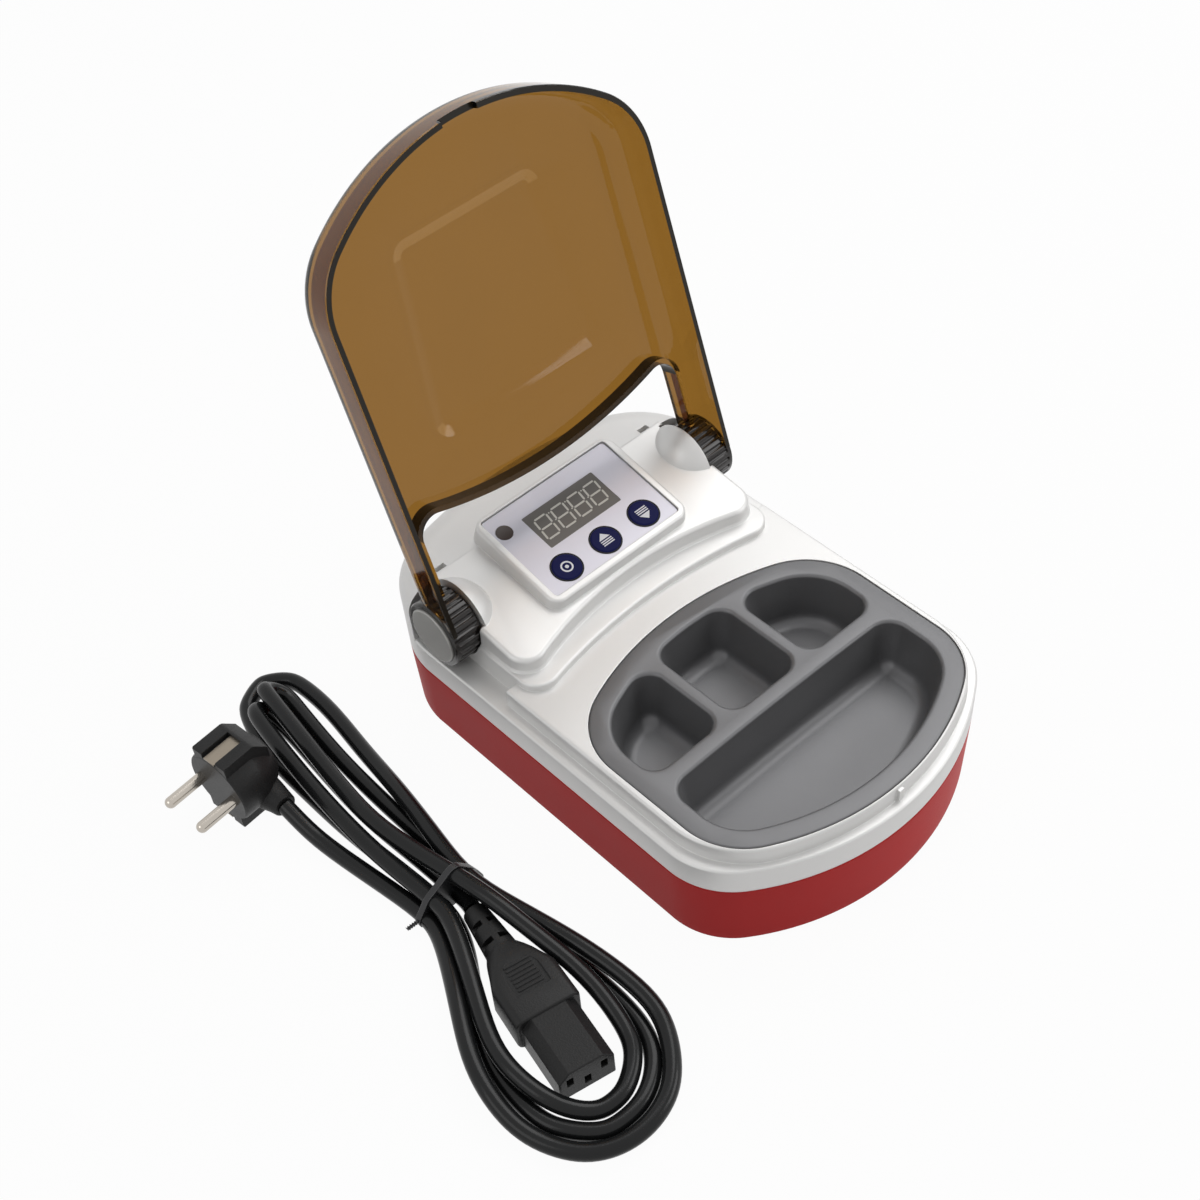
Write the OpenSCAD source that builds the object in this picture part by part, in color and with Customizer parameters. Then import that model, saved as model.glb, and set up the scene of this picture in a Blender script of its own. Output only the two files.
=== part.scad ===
// Bench-top wax heater with a three-well pot, a hinged dust lid and a detachable mains cord.
// All sizes are in millimetres. x runs to the user's right, y to the back, z up from the table.
// The rest pose has the lid standing open on its stop, as in the photo.

/* [Body] */
// half of the body's width at the ledge
body_half_w = 75; // [72:0.5:78]
// how far the front bulges forward of the middle
body_front = 113.1; // [110:0.1:116]
// how far the back bulges behind the middle
body_back = 112; // [109:0.1:115]
// radius of the bowed front edge
body_front_r = 105; // [95:1:125]
// radius of the two front corners
body_front_corner = 32.6; // [26:0.2:36]
// radius of the bowed back edge
body_back_r = 180; // [150:5:220]
// radius of the two back corners
body_back_corner = 38; // [30:1:42]
// height of the underside of the red shell above the table
shell_bottom = 3.3; // [2.5:0.1:4]
// height of the seam between red shell and grey cover
seam_z = 35.4; // [33:0.2:37]
// height of the ledge that the lid's rim closes over
ledge_z = 47.8; // [46:0.1:49]
// height of the deck around the pot
deck_z = 55; // [54:0.1:56]
// wall of the red shell
shell_wall = 2.4; // [2:0.1:3]
// wall of the grey cover
cover_wall = 2.4; // [2:0.1:3]
// how far the red shell tapers inward towards its foot
shell_draft = 0.9; // [0:0.1:2]

/* [Deck and plateau] */
// width of the ledge beside the raised deck
ledge_w = 5.1; // [4.6:0.1:6]
// width of the ledge in front of the raised deck
ledge_front = 4.4; // [4:0.1:5]
// height of the small shelf in front of the control plateau
shelf_z = 58.2; // [57:0.1:59]
// where the shelf's bowed front stands
shelf_front_y = 21.4; // [20:0.2:22]
// where the plateau's bowed front wall stands
plateau_front_y = 31.4; // [30:0.2:33]
// how far the plateau's sides stand in from the body's sides
plateau_in = 12; // [11.4:0.1:13]
// plateau height at its front corners
plateau_z = 64.8; // [64:0.1:65.6]
// slope of the plateau in degrees
plateau_tilt = 8; // [7:0.25:9]
// radius of the smooth domes over the hinge pins
dome_r = 17; // [16:0.25:17.5]

/* [Panel] */
// tilt of the label in degrees
panel_tilt = 11.5; // [10:0.25:13]
// how far back the middle of the label lies
panel_y = 58.6; // [57.5:0.1:59.5]
// height of the middle of the label
panel_z = 74.8; // [74.2:0.1:75.4]
// label width
label_w = 64.8; // [63:0.2:66]
// label length up the slope
label_l = 44.6; // [43:0.2:46]
// label thickness
label_t = 0.7; // [0.5:0.1:0.8]
// display window width
window_w = 37.2; // [36:0.2:38]
// display window height
window_l = 18; // [17:0.2:18.6]
// radius of a key's ring
key_ring_r = 6.75; // [6.5:0.05:6.9]
// radius of a key
key_r = 6.05; // [5.9:0.05:6.15]

/* [Pot] */
// width of the deck beside the pot's flange
deck_rim = 2.9; // [2.5:0.1:3.5]
// width of the deck in front of the pot's flange
deck_rim_front = 1.1; // [1:0.1:1.8]
// how far the flange bulges back
pot_back = 8.8; // [8:0.1:9.2]
// thickness of the flange
flange_t = 2.4; // [2:0.1:2.6]
// height of the underside of the pot
pot_bottom = 30; // [29:0.5:30]
// rim between a well and the flange's edge
well_rim = 8; // [7:0.1:9]
// wall between the big well and the small ones
divider = 6.4; // [5.5:0.1:7]
// wall between two small wells
small_divider = 5; // [4.5:0.1:5.5]

/* [Lid] */
// how far the lid's rim stands in from the body's sides
lid_inset = 1; // [0.8:0.1:1.5]
// wall of the lid
lid_wall = 2.4; // [2:0.1:2.6]
// height of the lid above its rim
lid_h = 19.4; // [18:0.2:20]
// how far the lid stands open in the rest pose, in degrees
lid_open = 108; // [90:1:112]
// how far back the hinge line lies
hinge_y = 62.2; // [61.5:0.1:63]
// height of the hinge line
hinge_z = 62.5; // [62.2:0.1:63]
// radius of the ribbed hinge drums
drum_r = 14.2; // [13.8:0.1:14.3]
// radius of the hinge pins
pin_r = 3; // [2.5:0.1:3.5]
// running clearance of a pin in its drum
pin_clearance = 0.05; // [0.02:0.01:0.1]
// radius of the hinge cap discs
cap_r = 11.8; // [11:0.1:12.2]

/* [Cord] */
// diameter of the mains cord
cord_d = 7; // [6.4:0.1:7.2]
// radius of the plug's round front
plug_r = 18.6; // [18:0.1:19]
// length of the plug's contact pins
plug_pin_l = 19; // [18.5:0.1:19.5]
// radius of the plug's contact pins
plug_pin_r = 2.4; // [2.35:0.01:2.45]
// spacing of the plug's contact pins
plug_pin_spacing = 19; // [18.9:0.01:19.1]
// width of the connector's nose
nose_w = 22.7; // [22:0.1:23]
// height of the connector's nose
nose_h = 15.6; // [15:0.1:16]

/* [Hidden] */
// points on each arc of an outline
arc_n = 9;
// points on each corner of an outline
corner_n = 7;
// half-width of the raised deck
deck_half_w = body_half_w - ledge_w;
// how far the deck bulges forward
deck_front = body_front - ledge_front;
// half-width and front of the pot's flange
pot_half_w = deck_half_w - deck_rim;
pot_front = deck_front - deck_rim_front;
// half-width of the plateau, of the shelf round it, and of the lid's cut-out and its lip
plateau_half_w = body_half_w - plateau_in;
shelf_half_w = plateau_half_w + 1.3;
cutout_half_w = plateau_half_w + 2.2;
lip_half_w = cutout_half_w + 2.2;
// half-width of the lid's rim
lid_half_w = body_half_w - lid_inset;
// planes that lie clear of the body at its sides, front and back
side_x = body_half_w + 5;
ahead_y = -body_front - 6.9;
behind_y = body_back + 8;
// where the shelf and the plateau sides end at the back
cut_y = 77.4;
// clearance round the drums in the cover
drum_clearance = 0.5;
// flat face of the domes
dome_flat = body_half_w - 15;
// where the sphere of a dome is centred
dome_x = dome_flat + 4.3;
// thickness of the cover that holds a hinge pin
pin_wall = 2.6;
// inner face of the drums
drum_in = dome_flat + 0.6;
// outer face of the drums
drum_out = lid_half_w + 0.3;
// depth of the recess for a hinge cap
cap_recess = 1.4;
// total thickness of a hinge cap
cap_t = 2.4;
// seat of the pot's flange in the cover
seat_z = deck_z - flange_t - 0.6;
// slack round the flange
flange_gap = 0.35;
// how far the seat reaches under the flange
seat_in = 3.6;
// how far the pot's body stands in from the flange
body_in = 4;
// floor of the red shell on the inside
floor_z = shell_bottom + shell_wall;
// position and half-width of the rear panel pocket
rear_y = body_back - 5;
pocket_half_w = 37.5;
// centre of the mains inlet
inlet_x = -19;
// centre of the rocker switch
switch_x = 19;
// height of the rear fittings
rear_z = 20;
// board thickness
board_t = 1.6;
// top of the power board's posts
board_z = 12;
// case screw places
case_posts = [[54, 26], [-54, 26], [46, 90], [-46, 90]];
// board screw places
board_posts = [[40, 30], [-40, 30], [40, 78], [-40, 78]];
// foot places
foot_places = [[56, -68], [-56, -68], [50, 80], [-50, 80]];
foot_r = 8;
foot_recess = 0.8;
// screws that hold the heater plate to the pot
pot_posts = [[20.8, -46.6], [-20.8, -46.6]];
pot_screw_r = 1.9;
pot_mid_y = -49;
plate_t = 3;
ring_t = 4;
pad_t = 6;
key_y = -14.4;
key_xs = [-20.1, 0.3, 20.7];
lamp_x = -27.8;
lamp_y = 13.4;
lamp_r = 3.5;
window_y = 5.1;
skin_t = 1.6;
// how deep the label lies below the rim of its frame
label_sink = 0.8;

// points along an arc, leaving out the last one
function arc(cx, cy, r, a0, a1, n) = [for (i = [0:n - 1])
  let (a = a0 + (a1 - a0) * i / n) [cx + r * cos(a), cy + r * sin(a)]];
// body-like outline: bowed front, straight sides, bowed back, four round corners
function outline(w, yf, rf, cf, yb, rb, cb) =
  let (ff = max(cf, 1), fb = max(cb, 1),
    fy = yf + rf - sqrt((rf - ff) * (rf - ff) - (w - ff) * (w - ff)),
    by = yb - rb + sqrt((rb - fb) * (rb - fb) - (w - fb) * (w - fb)),
    pf = asin((w - ff) / (rf - ff)), pb = asin((w - fb) / (rb - fb)))
  concat(arc(0, yf + rf, rf, -90 - pf, -90 + pf, arc_n), arc(w - ff, fy, ff, -90 + pf, 0, corner_n),
    arc(w - fb, by, fb, 0, 90 - pb, corner_n), arc(0, yb - rb, rb, 90 - pb, 90 + pb, arc_n),
    arc(fb - w, by, fb, 90 + pb, 180, corner_n), arc(ff - w, fy, ff, 180, 270 - pf, corner_n));
function body_line(d) = outline(body_half_w - d, d - body_front, body_front_r - d, body_front_corner - d,
  body_back - d, body_back_r - d, body_back_corner - d);
function deck_line(d) = outline(deck_half_w - d, d - deck_front, body_front_r + 5 - d,
  body_front_corner + 4.4 - d,
  60 - d, 180 - d, 20 - d);
function pot_line(d) = outline(pot_half_w - d, d - pot_front, body_front_r - 1 - d,
  body_front_corner - 3.3 - d,
  pot_back - d, 123.5 - d, 31.5 - d);
function lid_line(d) = outline(lid_half_w - d, d - body_front, body_front_r - 3 - d,
  body_front_corner - 0.6 - d,
  body_back - d, body_back_r - d, body_back_corner - d);
// outline with a hollow bowed front, used for the shelf, the plateau and the lid's cut-out
function bowed(w, y0, r, c, yb) =
  let (fy = y0 - r + sqrt((r + c) * (r + c) - (w - c) * (w - c)), p = asin((w - c) / (r + c)))
  concat(arc(0, y0 - r, r, 90 + p, 90 - p, arc_n * 2), arc(w - c, fy, c, 270 - p, 360, corner_n),
    [[w, fy], [w, yb], [-w, yb]], arc(c - w, fy, c, 180, 270 + p, corner_n));
// outline of a side well between x = a and x = b
function side_well(a, b, y0, yb, rb, r1, r2, r3, r4) =
  let (cy = yb - rb, y3 = cy + sqrt((rb - r3) * (rb - r3) - (b - r3) * (b - r3)),
    y4 = cy + sqrt((rb - r4) * (rb - r4) - (a + r4) * (a + r4)),
    t3 = atan2(y3 - cy, b - r3), t4 = atan2(y4 - cy, a + r4))
  concat(arc(a + r1, y0 + r1, r1, 180, 270, 5), arc(b - r2, y0 + r2, r2, 270, 360, 5),
    arc(b - r3, y3, r3, 0, t3, corner_n), arc(0, cy, rb, t3, t4, 5), arc(a + r4, y4, r4, t4, 180, 5));
// height of the sloping plateau at y
function plateau_at(y) = plateau_z + (y - 24.9) * tan(plateau_tilt);
// height of the almost level rear top at y
function rear_at(y) = plateau_at(cut_y) - (y - cut_y) * 0.03;
// puts a height on every point of an outline
function at_z(line, z) = [for (p = line) [p[0], p[1], z]];
function on_plateau(line, dz) = [for (p = line) [p[0], p[1], plateau_at(p[1]) - dz]];
function on_rear(line, dz) = [for (p = line) [p[0], p[1], rear_at(p[1]) - dz]];

// closed skin through rings of points that all hold the same number
module loft(rings) {
  n = len(rings[0]);
  m = len(rings);
  pts = [for (r = rings) for (p = r) p];
  sides = [for (k = [0:m - 2]) for (i = [0:n - 1]) for (h = [0:1])
    let (a = k * n + i, b = k * n + (i + 1) % n) h == 0 ? [a, a + n, b + n] : [a, b + n, b]];
  polyhedron(points = pts, faces = concat([[for (i = [0:n - 1]) i]],
    [[for (i = [n - 1:-1:0]) (m - 1) * n + i]], sides), convexity = 10);
}
module prism(line, z0, z1) {
  translate([0, 0, z0])
    linear_extrude(height = z1 - z0)
      polygon(line);
}
// box given by its lowest corner and its highest corner
module block(a, b) {
  translate(a)
    cube([b[0] - a[0], b[1] - a[1], b[2] - a[2]]);
}
// cylinder along x between two values
module rod_x(x0, x1, y, z, r, fn = 48) {
  translate([x0, y, z])
    rotate([0, 90, 0])
      cylinder(h = x1 - x0, r = r, $fn = fn);
}
// rounded rectangle standing on the local plane
module pad2(w, l, r) {
  square([w - 2 * r, l], center = true);
  square([w, l - 2 * r], center = true);
  for (sx = [-1, 1])
    for (sy = [-1, 1])
      translate([sx * (w / 2 - r), sy * (l / 2 - r)])
        circle(r = r, $fn = 24);
}
module slab(w, l, r, z0, z1) {
  translate([0, 0, z0])
    linear_extrude(height = z1 - z0)
      pad2(w, l, r);
}
// frame of the label: local z stands on its face
module on_panel() {
  translate([0, panel_y, panel_z])
    rotate([panel_tilt, 0, 0])
      children();
}
// left and right copies
module both() {
  children();
  mirror([1, 0, 0])
    children();
}

module foot_pads() {
  color([0.08, 0.08, 0.09])
    for (p = foot_places)
      translate([p[0], p[1], 0]) {
        cylinder(h = 0.8, r1 = foot_r - 0.8, r2 = foot_r, $fn = 48);
        translate([0, 0, 0.8])
          cylinder(h = shell_bottom + foot_recess - 0.8, r = foot_r, $fn = 48);
      }
}

module base_shell() {
  color([0.55, 0.19, 0.19])
    difference() {
      union() {
        difference() {
          loft([at_z(body_line(shell_draft + 1.2), shell_bottom),
            at_z(body_line(shell_draft + 0.4), shell_bottom + 0.6),
            at_z(body_line(shell_draft), shell_bottom + 1.6), at_z(body_line(0), seam_z)]);
          prism(body_line(shell_draft + shell_wall), floor_z, seam_z + 1);
        }
        // tongue that locates the cover
        difference() {
          prism(body_line(cover_wall + 0.15), seam_z - 6, seam_z + 2.4);
          prism(body_line(cover_wall + 1.9), seam_z - 7, seam_z + 3);
        }
        // flat rear panel behind the pocket
        block([-pocket_half_w - 0.5, rear_y - 2.6, floor_z - 0.2], [pocket_half_w + 0.5, rear_y + 1, seam_z]);
        for (p = case_posts)
          translate([p[0], p[1], floor_z - 0.2])
            cylinder(h = 34 - floor_z + 0.2, r = 4.2, $fn = 32);
        for (p = board_posts)
          translate([p[0], p[1], floor_z - 0.2])
            cylinder(h = board_z - floor_z + 0.2, r = 3.4, $fn = 32);
        for (sx = [-1, 1])
          for (y = [-82, -22])
            translate([sx * 38, y, floor_z - 0.2])
              cylinder(h = pot_bottom - plate_t - ring_t - pad_t - floor_z + 0.2, r = 4, $fn = 32);
      }
      block([-pocket_half_w, rear_y, shell_bottom + 2.4], [pocket_half_w, behind_y, seam_z - 1.6]);
      // hole of the mains inlet
      block([inlet_x - 13.5, rear_y - 7, rear_z - 9.9], [inlet_x + 13.5, rear_y + 2, rear_z + 9.9]);
      // hole of the rocker switch
      block([switch_x - 9.5, rear_y - 7, rear_z - 6.5], [switch_x + 9.5, rear_y + 2, rear_z + 6.5]);
      for (p = case_posts) {
        translate([p[0], p[1], shell_bottom - 1])
          cylinder(h = 40, r = 1.7, $fn = 24);
        translate([p[0], p[1], shell_bottom - 1])
          cylinder(h = 8.7, r = 3.4, $fn = 24);
      }
      for (p = board_posts)
        translate([p[0], p[1], board_z - 5])
          cylinder(h = 6, r = 1.2, $fn = 24);
      for (p = foot_places)
        translate([p[0], p[1], shell_bottom - 1])
          cylinder(h = 1 + foot_recess, r = foot_r, $fn = 48);
      // cooling slots in the floor
      for (i = [-4:4])
        block([i * 7 - 1.2, -66, shell_bottom - 1], [i * 7 + 1.2, -36, floor_z + 1]);
    }
}

// solid form of the cover before it is hollowed
module cover_solid() {
  prism(body_line(0.3), seam_z, seam_z + 0.5);
  loft([at_z(body_line(0), seam_z + 0.5), at_z(body_line(0), ledge_z - 0.8),
    at_z(body_line(0.25), ledge_z - 0.25), at_z(body_line(0.8), ledge_z)]);
  intersection() {
    loft([at_z(deck_line(-0.3), ledge_z - 1), at_z(deck_line(0), ledge_z + 1),
      at_z(deck_line(0.1), deck_z - 1), at_z(deck_line(0.4), deck_z - 0.3),
      at_z(deck_line(1.1), deck_z)]);
    block([-side_x, ahead_y, 40], [side_x, shelf_front_y + 4.6, 60]);
  }
  loft([at_z(bowed(shelf_half_w, shelf_front_y, 230, 9, 90), ledge_z - 1),
    at_z(bowed(shelf_half_w, shelf_front_y, 230, 9, 90), shelf_z - 0.7),
    at_z(bowed(shelf_half_w - 0.6, shelf_front_y + 0.6, 230, 8.4, 89.4), shelf_z)]);
  loft([at_z(bowed(plateau_half_w, plateau_front_y, 163, 9, 80), ledge_z - 1),
    on_plateau(bowed(plateau_half_w, plateau_front_y, 163, 9, 80), 2),
    on_plateau(bowed(plateau_half_w - 0.5, plateau_front_y + 0.5, 163.5, 8.5, 80), 0.6),
    on_plateau(bowed(plateau_half_w - 2, plateau_front_y + 2, 165, 7, 80), 0)]);
  intersection() {
    loft([at_z(body_line(0), ledge_z - 1.5), on_rear(body_line(0), 10), on_rear(body_line(1.4), 5.6),
      on_rear(body_line(3.8), 2.6), on_rear(body_line(7), 0.8), on_rear(body_line(11), 0)]);
    block([-side_x, cut_y, 40], [side_x, behind_y, 90]);
  }
  both()
    intersection() {
      translate([dome_x, hinge_y, hinge_z])
        sphere(r = dome_r, $fn = 64);
      block([dome_flat - 20, 40, 58], [dome_flat, 82, 90]);
    }
  on_panel()
    loft([at_z(frame_line(0), -9), at_z(frame_line(0), -1), at_z(frame_line(0.4), 0.3),
      at_z(frame_line(1.1), label_sink)]);
}
// outline of the raised frame round the label
function frame_line(d) = let (w = 36.2 - d, y0 = -26 + d, y1 = 24.6 - d, r = 6 - d)
  concat(arc(w - r, y0 + r, r, 270, 360, 5), arc(w - r, y1 - r, r, 0, 90, 5),
    arc(r - w, y1 - r, r, 90, 180, 5), arc(r - w, y0 + r, r, 180, 270, 5));

module top_cover() {
  color([0.8, 0.8, 0.81])
    difference() {
      union() {
        difference() {
          cover_solid();
          // hollow under the ledge, the deck, the plateau and the rear
          prism(body_line(cover_wall), seam_z - 1, ledge_z - cover_wall);
          intersection() {
            prism(deck_line(cover_wall), seam_z, deck_z - 6);
            block([-side_x, ahead_y, 30], [side_x, 16, 60]);
          }
          difference() {
            intersection() {
              prism(bowed(plateau_half_w - pin_wall, plateau_front_y + 2.8, 166, 7, 78), ledge_z - 4, 90);
              translate([0, 24.9, plateau_z - cover_wall])
                rotate([plateau_tilt, 0, 0])
                  block([-side_x, -60, -60], [side_x, 80, 0]);
            }
            both()
              block([dome_flat - pin_wall, 44, 40], [dome_flat + 4, 81, 90]);
          }
          difference() {
            loft([at_z(body_line(cover_wall), ledge_z - 4), on_rear(body_line(cover_wall), 12),
              on_rear(body_line(6), 5.4), on_rear(body_line(12), cover_wall)]);
            block([-side_x, ahead_y, 30], [side_x, cut_y + 0.2, 90]);
            both()
              block([dome_flat - pin_wall, cut_y, 30], [side_x, cut_y + 2.6, 90]);
          }
        }
        // bosses that take the case screws
        for (p = case_posts)
          translate([p[0], p[1], 34])
            cylinder(h = p[1] < 40 ? shelf_z - 35 : plateau_at(70) - 35, r = 4, $fn = 32);
      }
      // seat and through hole of the pot
      prism(pot_line(-flange_gap), seat_z, deck_z + 2);
      prism(pot_line(seat_in), ledge_z - 8, deck_z + 2);
      for (p = case_posts)
        translate([p[0], p[1], 33])
          cylinder(h = 12, r = 1.5, $fn = 24);
      // room for the hinge drums
      both() {
        rod_x(dome_flat + 0.1, side_x, hinge_y, hinge_z, drum_r + drum_clearance, 64);
        block([dome_flat + 0.1, hinge_y - drum_r - drum_clearance, hinge_z],
          [side_x, hinge_y + drum_r + drum_clearance, 95]);
        rod_x(dome_flat - 11, dome_flat + 2, hinge_y, hinge_z, pin_r, 32);
      }
      // small slots behind the domes
      both()
        block([dome_flat - 8, cut_y + 1.6, 69.5], [dome_flat - 3, cut_y + 4, 75]);
      on_panel() {
        slab(label_w + 0.7, label_l + 0.7, 1.6, -label_t, 3);
        slab(label_w - 1, label_l - 1, 2, -16, -label_t - skin_t);
        translate([0, window_y, 0])
          slab(window_w - 2.4, window_l - 2.4, 0.6, -4, 1);
        for (x = key_xs)
          translate([x, key_y, -4])
            cylinder(h = 6, r = key_ring_r, $fn = 48);
        translate([lamp_x, lamp_y, -4])
          cylinder(h = 6, r = lamp_r, $fn = 32);
      }
    }
  // rib that the lid's front catches on
  color([0.8, 0.8, 0.81])
    block([-1.25, -deck_front - 1.3, ledge_z - 0.4], [1.25, -deck_front + 1.2, deck_z - 1.6]);
}

module panel_label() {
  color([0.78, 0.77, 0.82])
    on_panel()
      difference() {
        slab(label_w, label_l, 1.4, -label_t, 0);
        translate([0, window_y, 0])
          slab(window_w, window_l, 0.6, -2, 1);
        for (x = key_xs)
          translate([x, key_y, -2])
            cylinder(h = 3, r = key_ring_r, $fn = 48);
        translate([lamp_x, lamp_y, -2])
          cylinder(h = 3, r = lamp_r + 0.1, $fn = 32);
      }
}
module key_rings() {
  color([0.03, 0.03, 0.05])
    on_panel()
      for (x = key_xs)
        translate([x, key_y, -label_t - skin_t])
          difference() {
            cylinder(h = label_t + skin_t + 0.15, r = key_ring_r, $fn = 48);
            translate([0, 0, -1])
              cylinder(h = 6, r = key_r + 0.08, $fn = 48);
          }
}
module one_key(x) {
  color([0.13, 0.14, 0.42])
    on_panel()
      translate([x, key_y, 0]) {
        translate([0, 0, -3.3])
          cylinder(h = 3.5, r = key_r, $fn = 48);
        translate([0, 0, 0.2])
          cylinder(h = 0.3, r1 = key_r, r2 = key_r - 0.5, $fn = 48);
        translate([0, 0, -3.3])
          cylinder(h = 0.8, r = key_r + 1.3, $fn = 48);
        translate([0, 0, -3.9])
          cylinder(h = 0.8, r = 1.4, $fn = 24);
      }
}
module key_set() {
  one_key(key_xs[0]);
}
module key_up() {
  one_key(key_xs[1]);
}
module key_down() {
  one_key(key_xs[2]);
}
module display_window() {
  color([0.46, 0.44, 0.43, 0.6])
    on_panel()
      translate([0, window_y, 0])
        slab(window_w - 0.1, window_l - 0.1, 0.5, -label_t, -0.05);
}
module display_module() {
  color([0.24, 0.23, 0.22])
    on_panel()
      translate([0, window_y, 0]) {
        slab(window_w - 2.8, window_l - 2.8, 0.4, -label_t - skin_t - 0.1, -label_t - 0.1);
        slab(window_w + 1, window_l + 1, 0.6, -6.4, -label_t - skin_t);
        for (i = [-4:4])
          for (s = [-1, 1])
            translate([i * 2.54, s * 8, -9])
              cylinder(h = 3, r = 0.3, $fn = 16);
      }
}
module indicator_lens() {
  color([0.3, 0.27, 0.26])
    on_panel()
      translate([lamp_x, lamp_y, -6.4])
        cylinder(h = 6.5, r = lamp_r, $fn = 32);
}
module control_board() {
  color([0.1, 0.32, 0.18])
    on_panel()
      difference() {
        slab(58.5, 38.5, 1.5, -6.4 - board_t, -6.4);
        for (i = [-4:4])
          for (s = [-1, 1])
            translate([i * 2.54, window_y + s * 8, -9])
              cylinder(h = 3, r = 0.3, $fn = 16);
      }
}
module key_switches() {
  color([0.2, 0.2, 0.22])
    on_panel()
      for (x = key_xs)
        translate([x, key_y, 0]) {
          slab(6, 6, 0.4, -6.4, -5);
          translate([0, 0, -5])
            cylinder(h = 0.5, r = 1.7, $fn = 24);
        }
}
module board_screws() {
  color([0.7, 0.7, 0.72])
    for (p = board_posts)
      translate([p[0], p[1], 0]) {
        translate([0, 0, board_z - 4.6])
          cylinder(h = 4.6 + board_t, r = 1.2, $fn = 24);
        translate([0, 0, board_z + board_t])
          cylinder(h = 1.6, r = 2.4, $fn = 24);
      }
}

module pot() {
  rim_w = pot_half_w - well_rim;
  mid = -48.6 + 2;
  front_y = mid - divider / 2;
  back_y = mid + divider / 2;
  in_x = 20.8 + small_divider / 2;
  c_x = 20.8 - small_divider / 2;
  // depth below the deck and inset of each ring of a well
  steps = [[-0.1, -1.3], [0.5, -0.5], [1.3, 0], [13, 2.2], [17.6, 3.4], [20.2, 4.8], [21.5, 6.8], [22, 9]];
  color([0.45, 0.45, 0.46])
    difference() {
      union() {
        loft([at_z(pot_line(0), deck_z - flange_t), at_z(pot_line(0), deck_z - 0.6),
          at_z(pot_line(0.2), deck_z - 0.2), at_z(pot_line(0.6), deck_z)]);
        loft([at_z(pot_line(6.4), pot_bottom), at_z(pot_line(5.2), pot_bottom + 1.6),
          at_z(pot_line(body_in), deck_z - flange_t + 0.4)]);
      }
      loft([for (i = [len(steps) - 1:-1:0]) let (d = steps[i][1])
        at_z(outline(rim_w - d, well_rim - pot_front + d, 96 - d, 22 - d, front_y - d, 2000, 9 - d * 0.6),
          deck_z - steps[i][0])]);
      loft([for (i = [len(steps) - 1:-1:0]) let (d = steps[i][1])
        at_z(outline(c_x - d, back_y + d, 2000, 8 - d * 0.6, pot_back - well_rim - d, 115.5 - d, 8 - d * 0.6),
          deck_z - steps[i][0])]);
      both()
        loft([for (i = [len(steps) - 1:-1:0]) let (d = steps[i][1], c = max(8 - d * 0.6, 2))
          at_z(side_well(in_x + d, rim_w - d, back_y + d, pot_back - well_rim - d, 115.5 - d, c, c, 24 - d, c),
            deck_z - steps[i][0])]);
      for (p = pot_posts)
        translate([p[0], p[1], pot_bottom - 1])
          cylinder(h = 9, r = pot_screw_r, $fn = 24);
    }
}
module pot_gasket() {
  color([0.75, 0.3, 0.25])
    difference() {
      prism(pot_line(0.6), seat_z, deck_z - flange_t);
      prism(pot_line(seat_in - 0.1), seat_z - 1, deck_z);
    }
}
module heater_plate() {
  color([0.72, 0.73, 0.74])
    difference() {
      prism(pot_line(9), pot_bottom - plate_t, pot_bottom);
      for (p = pot_posts)
        translate([p[0], p[1], pot_bottom - plate_t - 1])
          cylinder(h = plate_t + 2, r = pot_screw_r + 0.3, $fn = 24);
    }
}
module heating_element() {
  color([0.3, 0.28, 0.27])
    translate([0, pot_mid_y, pot_bottom - plate_t - ring_t])
      difference() {
        cylinder(h = ring_t, r = 44, $fn = 96);
        translate([0, 0, -1])
          cylinder(h = ring_t + 2, r = 36, $fn = 96);
        block([-4, -50, -1], [4, -30, ring_t + 1]);
      }
}
module insulation_pad() {
  top = pot_bottom - plate_t - ring_t;
  color([0.86, 0.84, 0.78])
    prism(pot_line(11), top - pad_t, top);
}
module temperature_sensor() {
  color([0.8, 0.8, 0.82])
    rod_x(-6, 6, pot_mid_y - 14, pot_bottom - plate_t - 2, 2, 24);
}
module thermal_fuse() {
  color([0.83, 0.76, 0.6])
    rod_x(-8, 8, pot_mid_y + 16, pot_bottom - plate_t - 2, 2, 24);
}
module pot_screws() {
  color([0.7, 0.7, 0.72])
    for (p = pot_posts)
      translate([p[0], p[1], 0]) {
        translate([0, 0, pot_bottom - plate_t])
          cylinder(h = plate_t + 7.5, r = pot_screw_r, $fn = 24);
        translate([0, 0, pot_bottom - plate_t - 2.6])
          cylinder(h = 2.6, r = 3.4, $fn = 6 * 4);
      }
}

module power_board() {
  color([0.12, 0.36, 0.2])
    difference() {
      block([-45, 22, board_z], [45, 85, board_z + board_t]);
      for (p = board_posts)
        translate([p[0], p[1], board_z - 1])
          cylinder(h = 4, r = 1.25, $fn = 24);
    }
}
module transformer() {
  z0 = board_z + board_t;
  color([0.75, 0.6, 0.25])
    translate([-20, 52, z0]) {
      block([-16, -13, 0], [16, 13, 3]);
      block([-16, -13, 3], [-6, 13, 21]);
      block([6, -13, 3], [16, 13, 21]);
      block([-16, -13, 21], [16, 13, 24]);
      block([-6, -11, 3], [6, 11, 21]);
    }
}
module relay() {
  color([0.16, 0.3, 0.6])
    translate([22, 50, board_z + board_t]) {
      block([-9.5, -7.5, 0], [9.5, 7.5, 15]);
      block([-8.5, -6.5, 15], [8.5, 6.5, 15.4]);
    }
}
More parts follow.
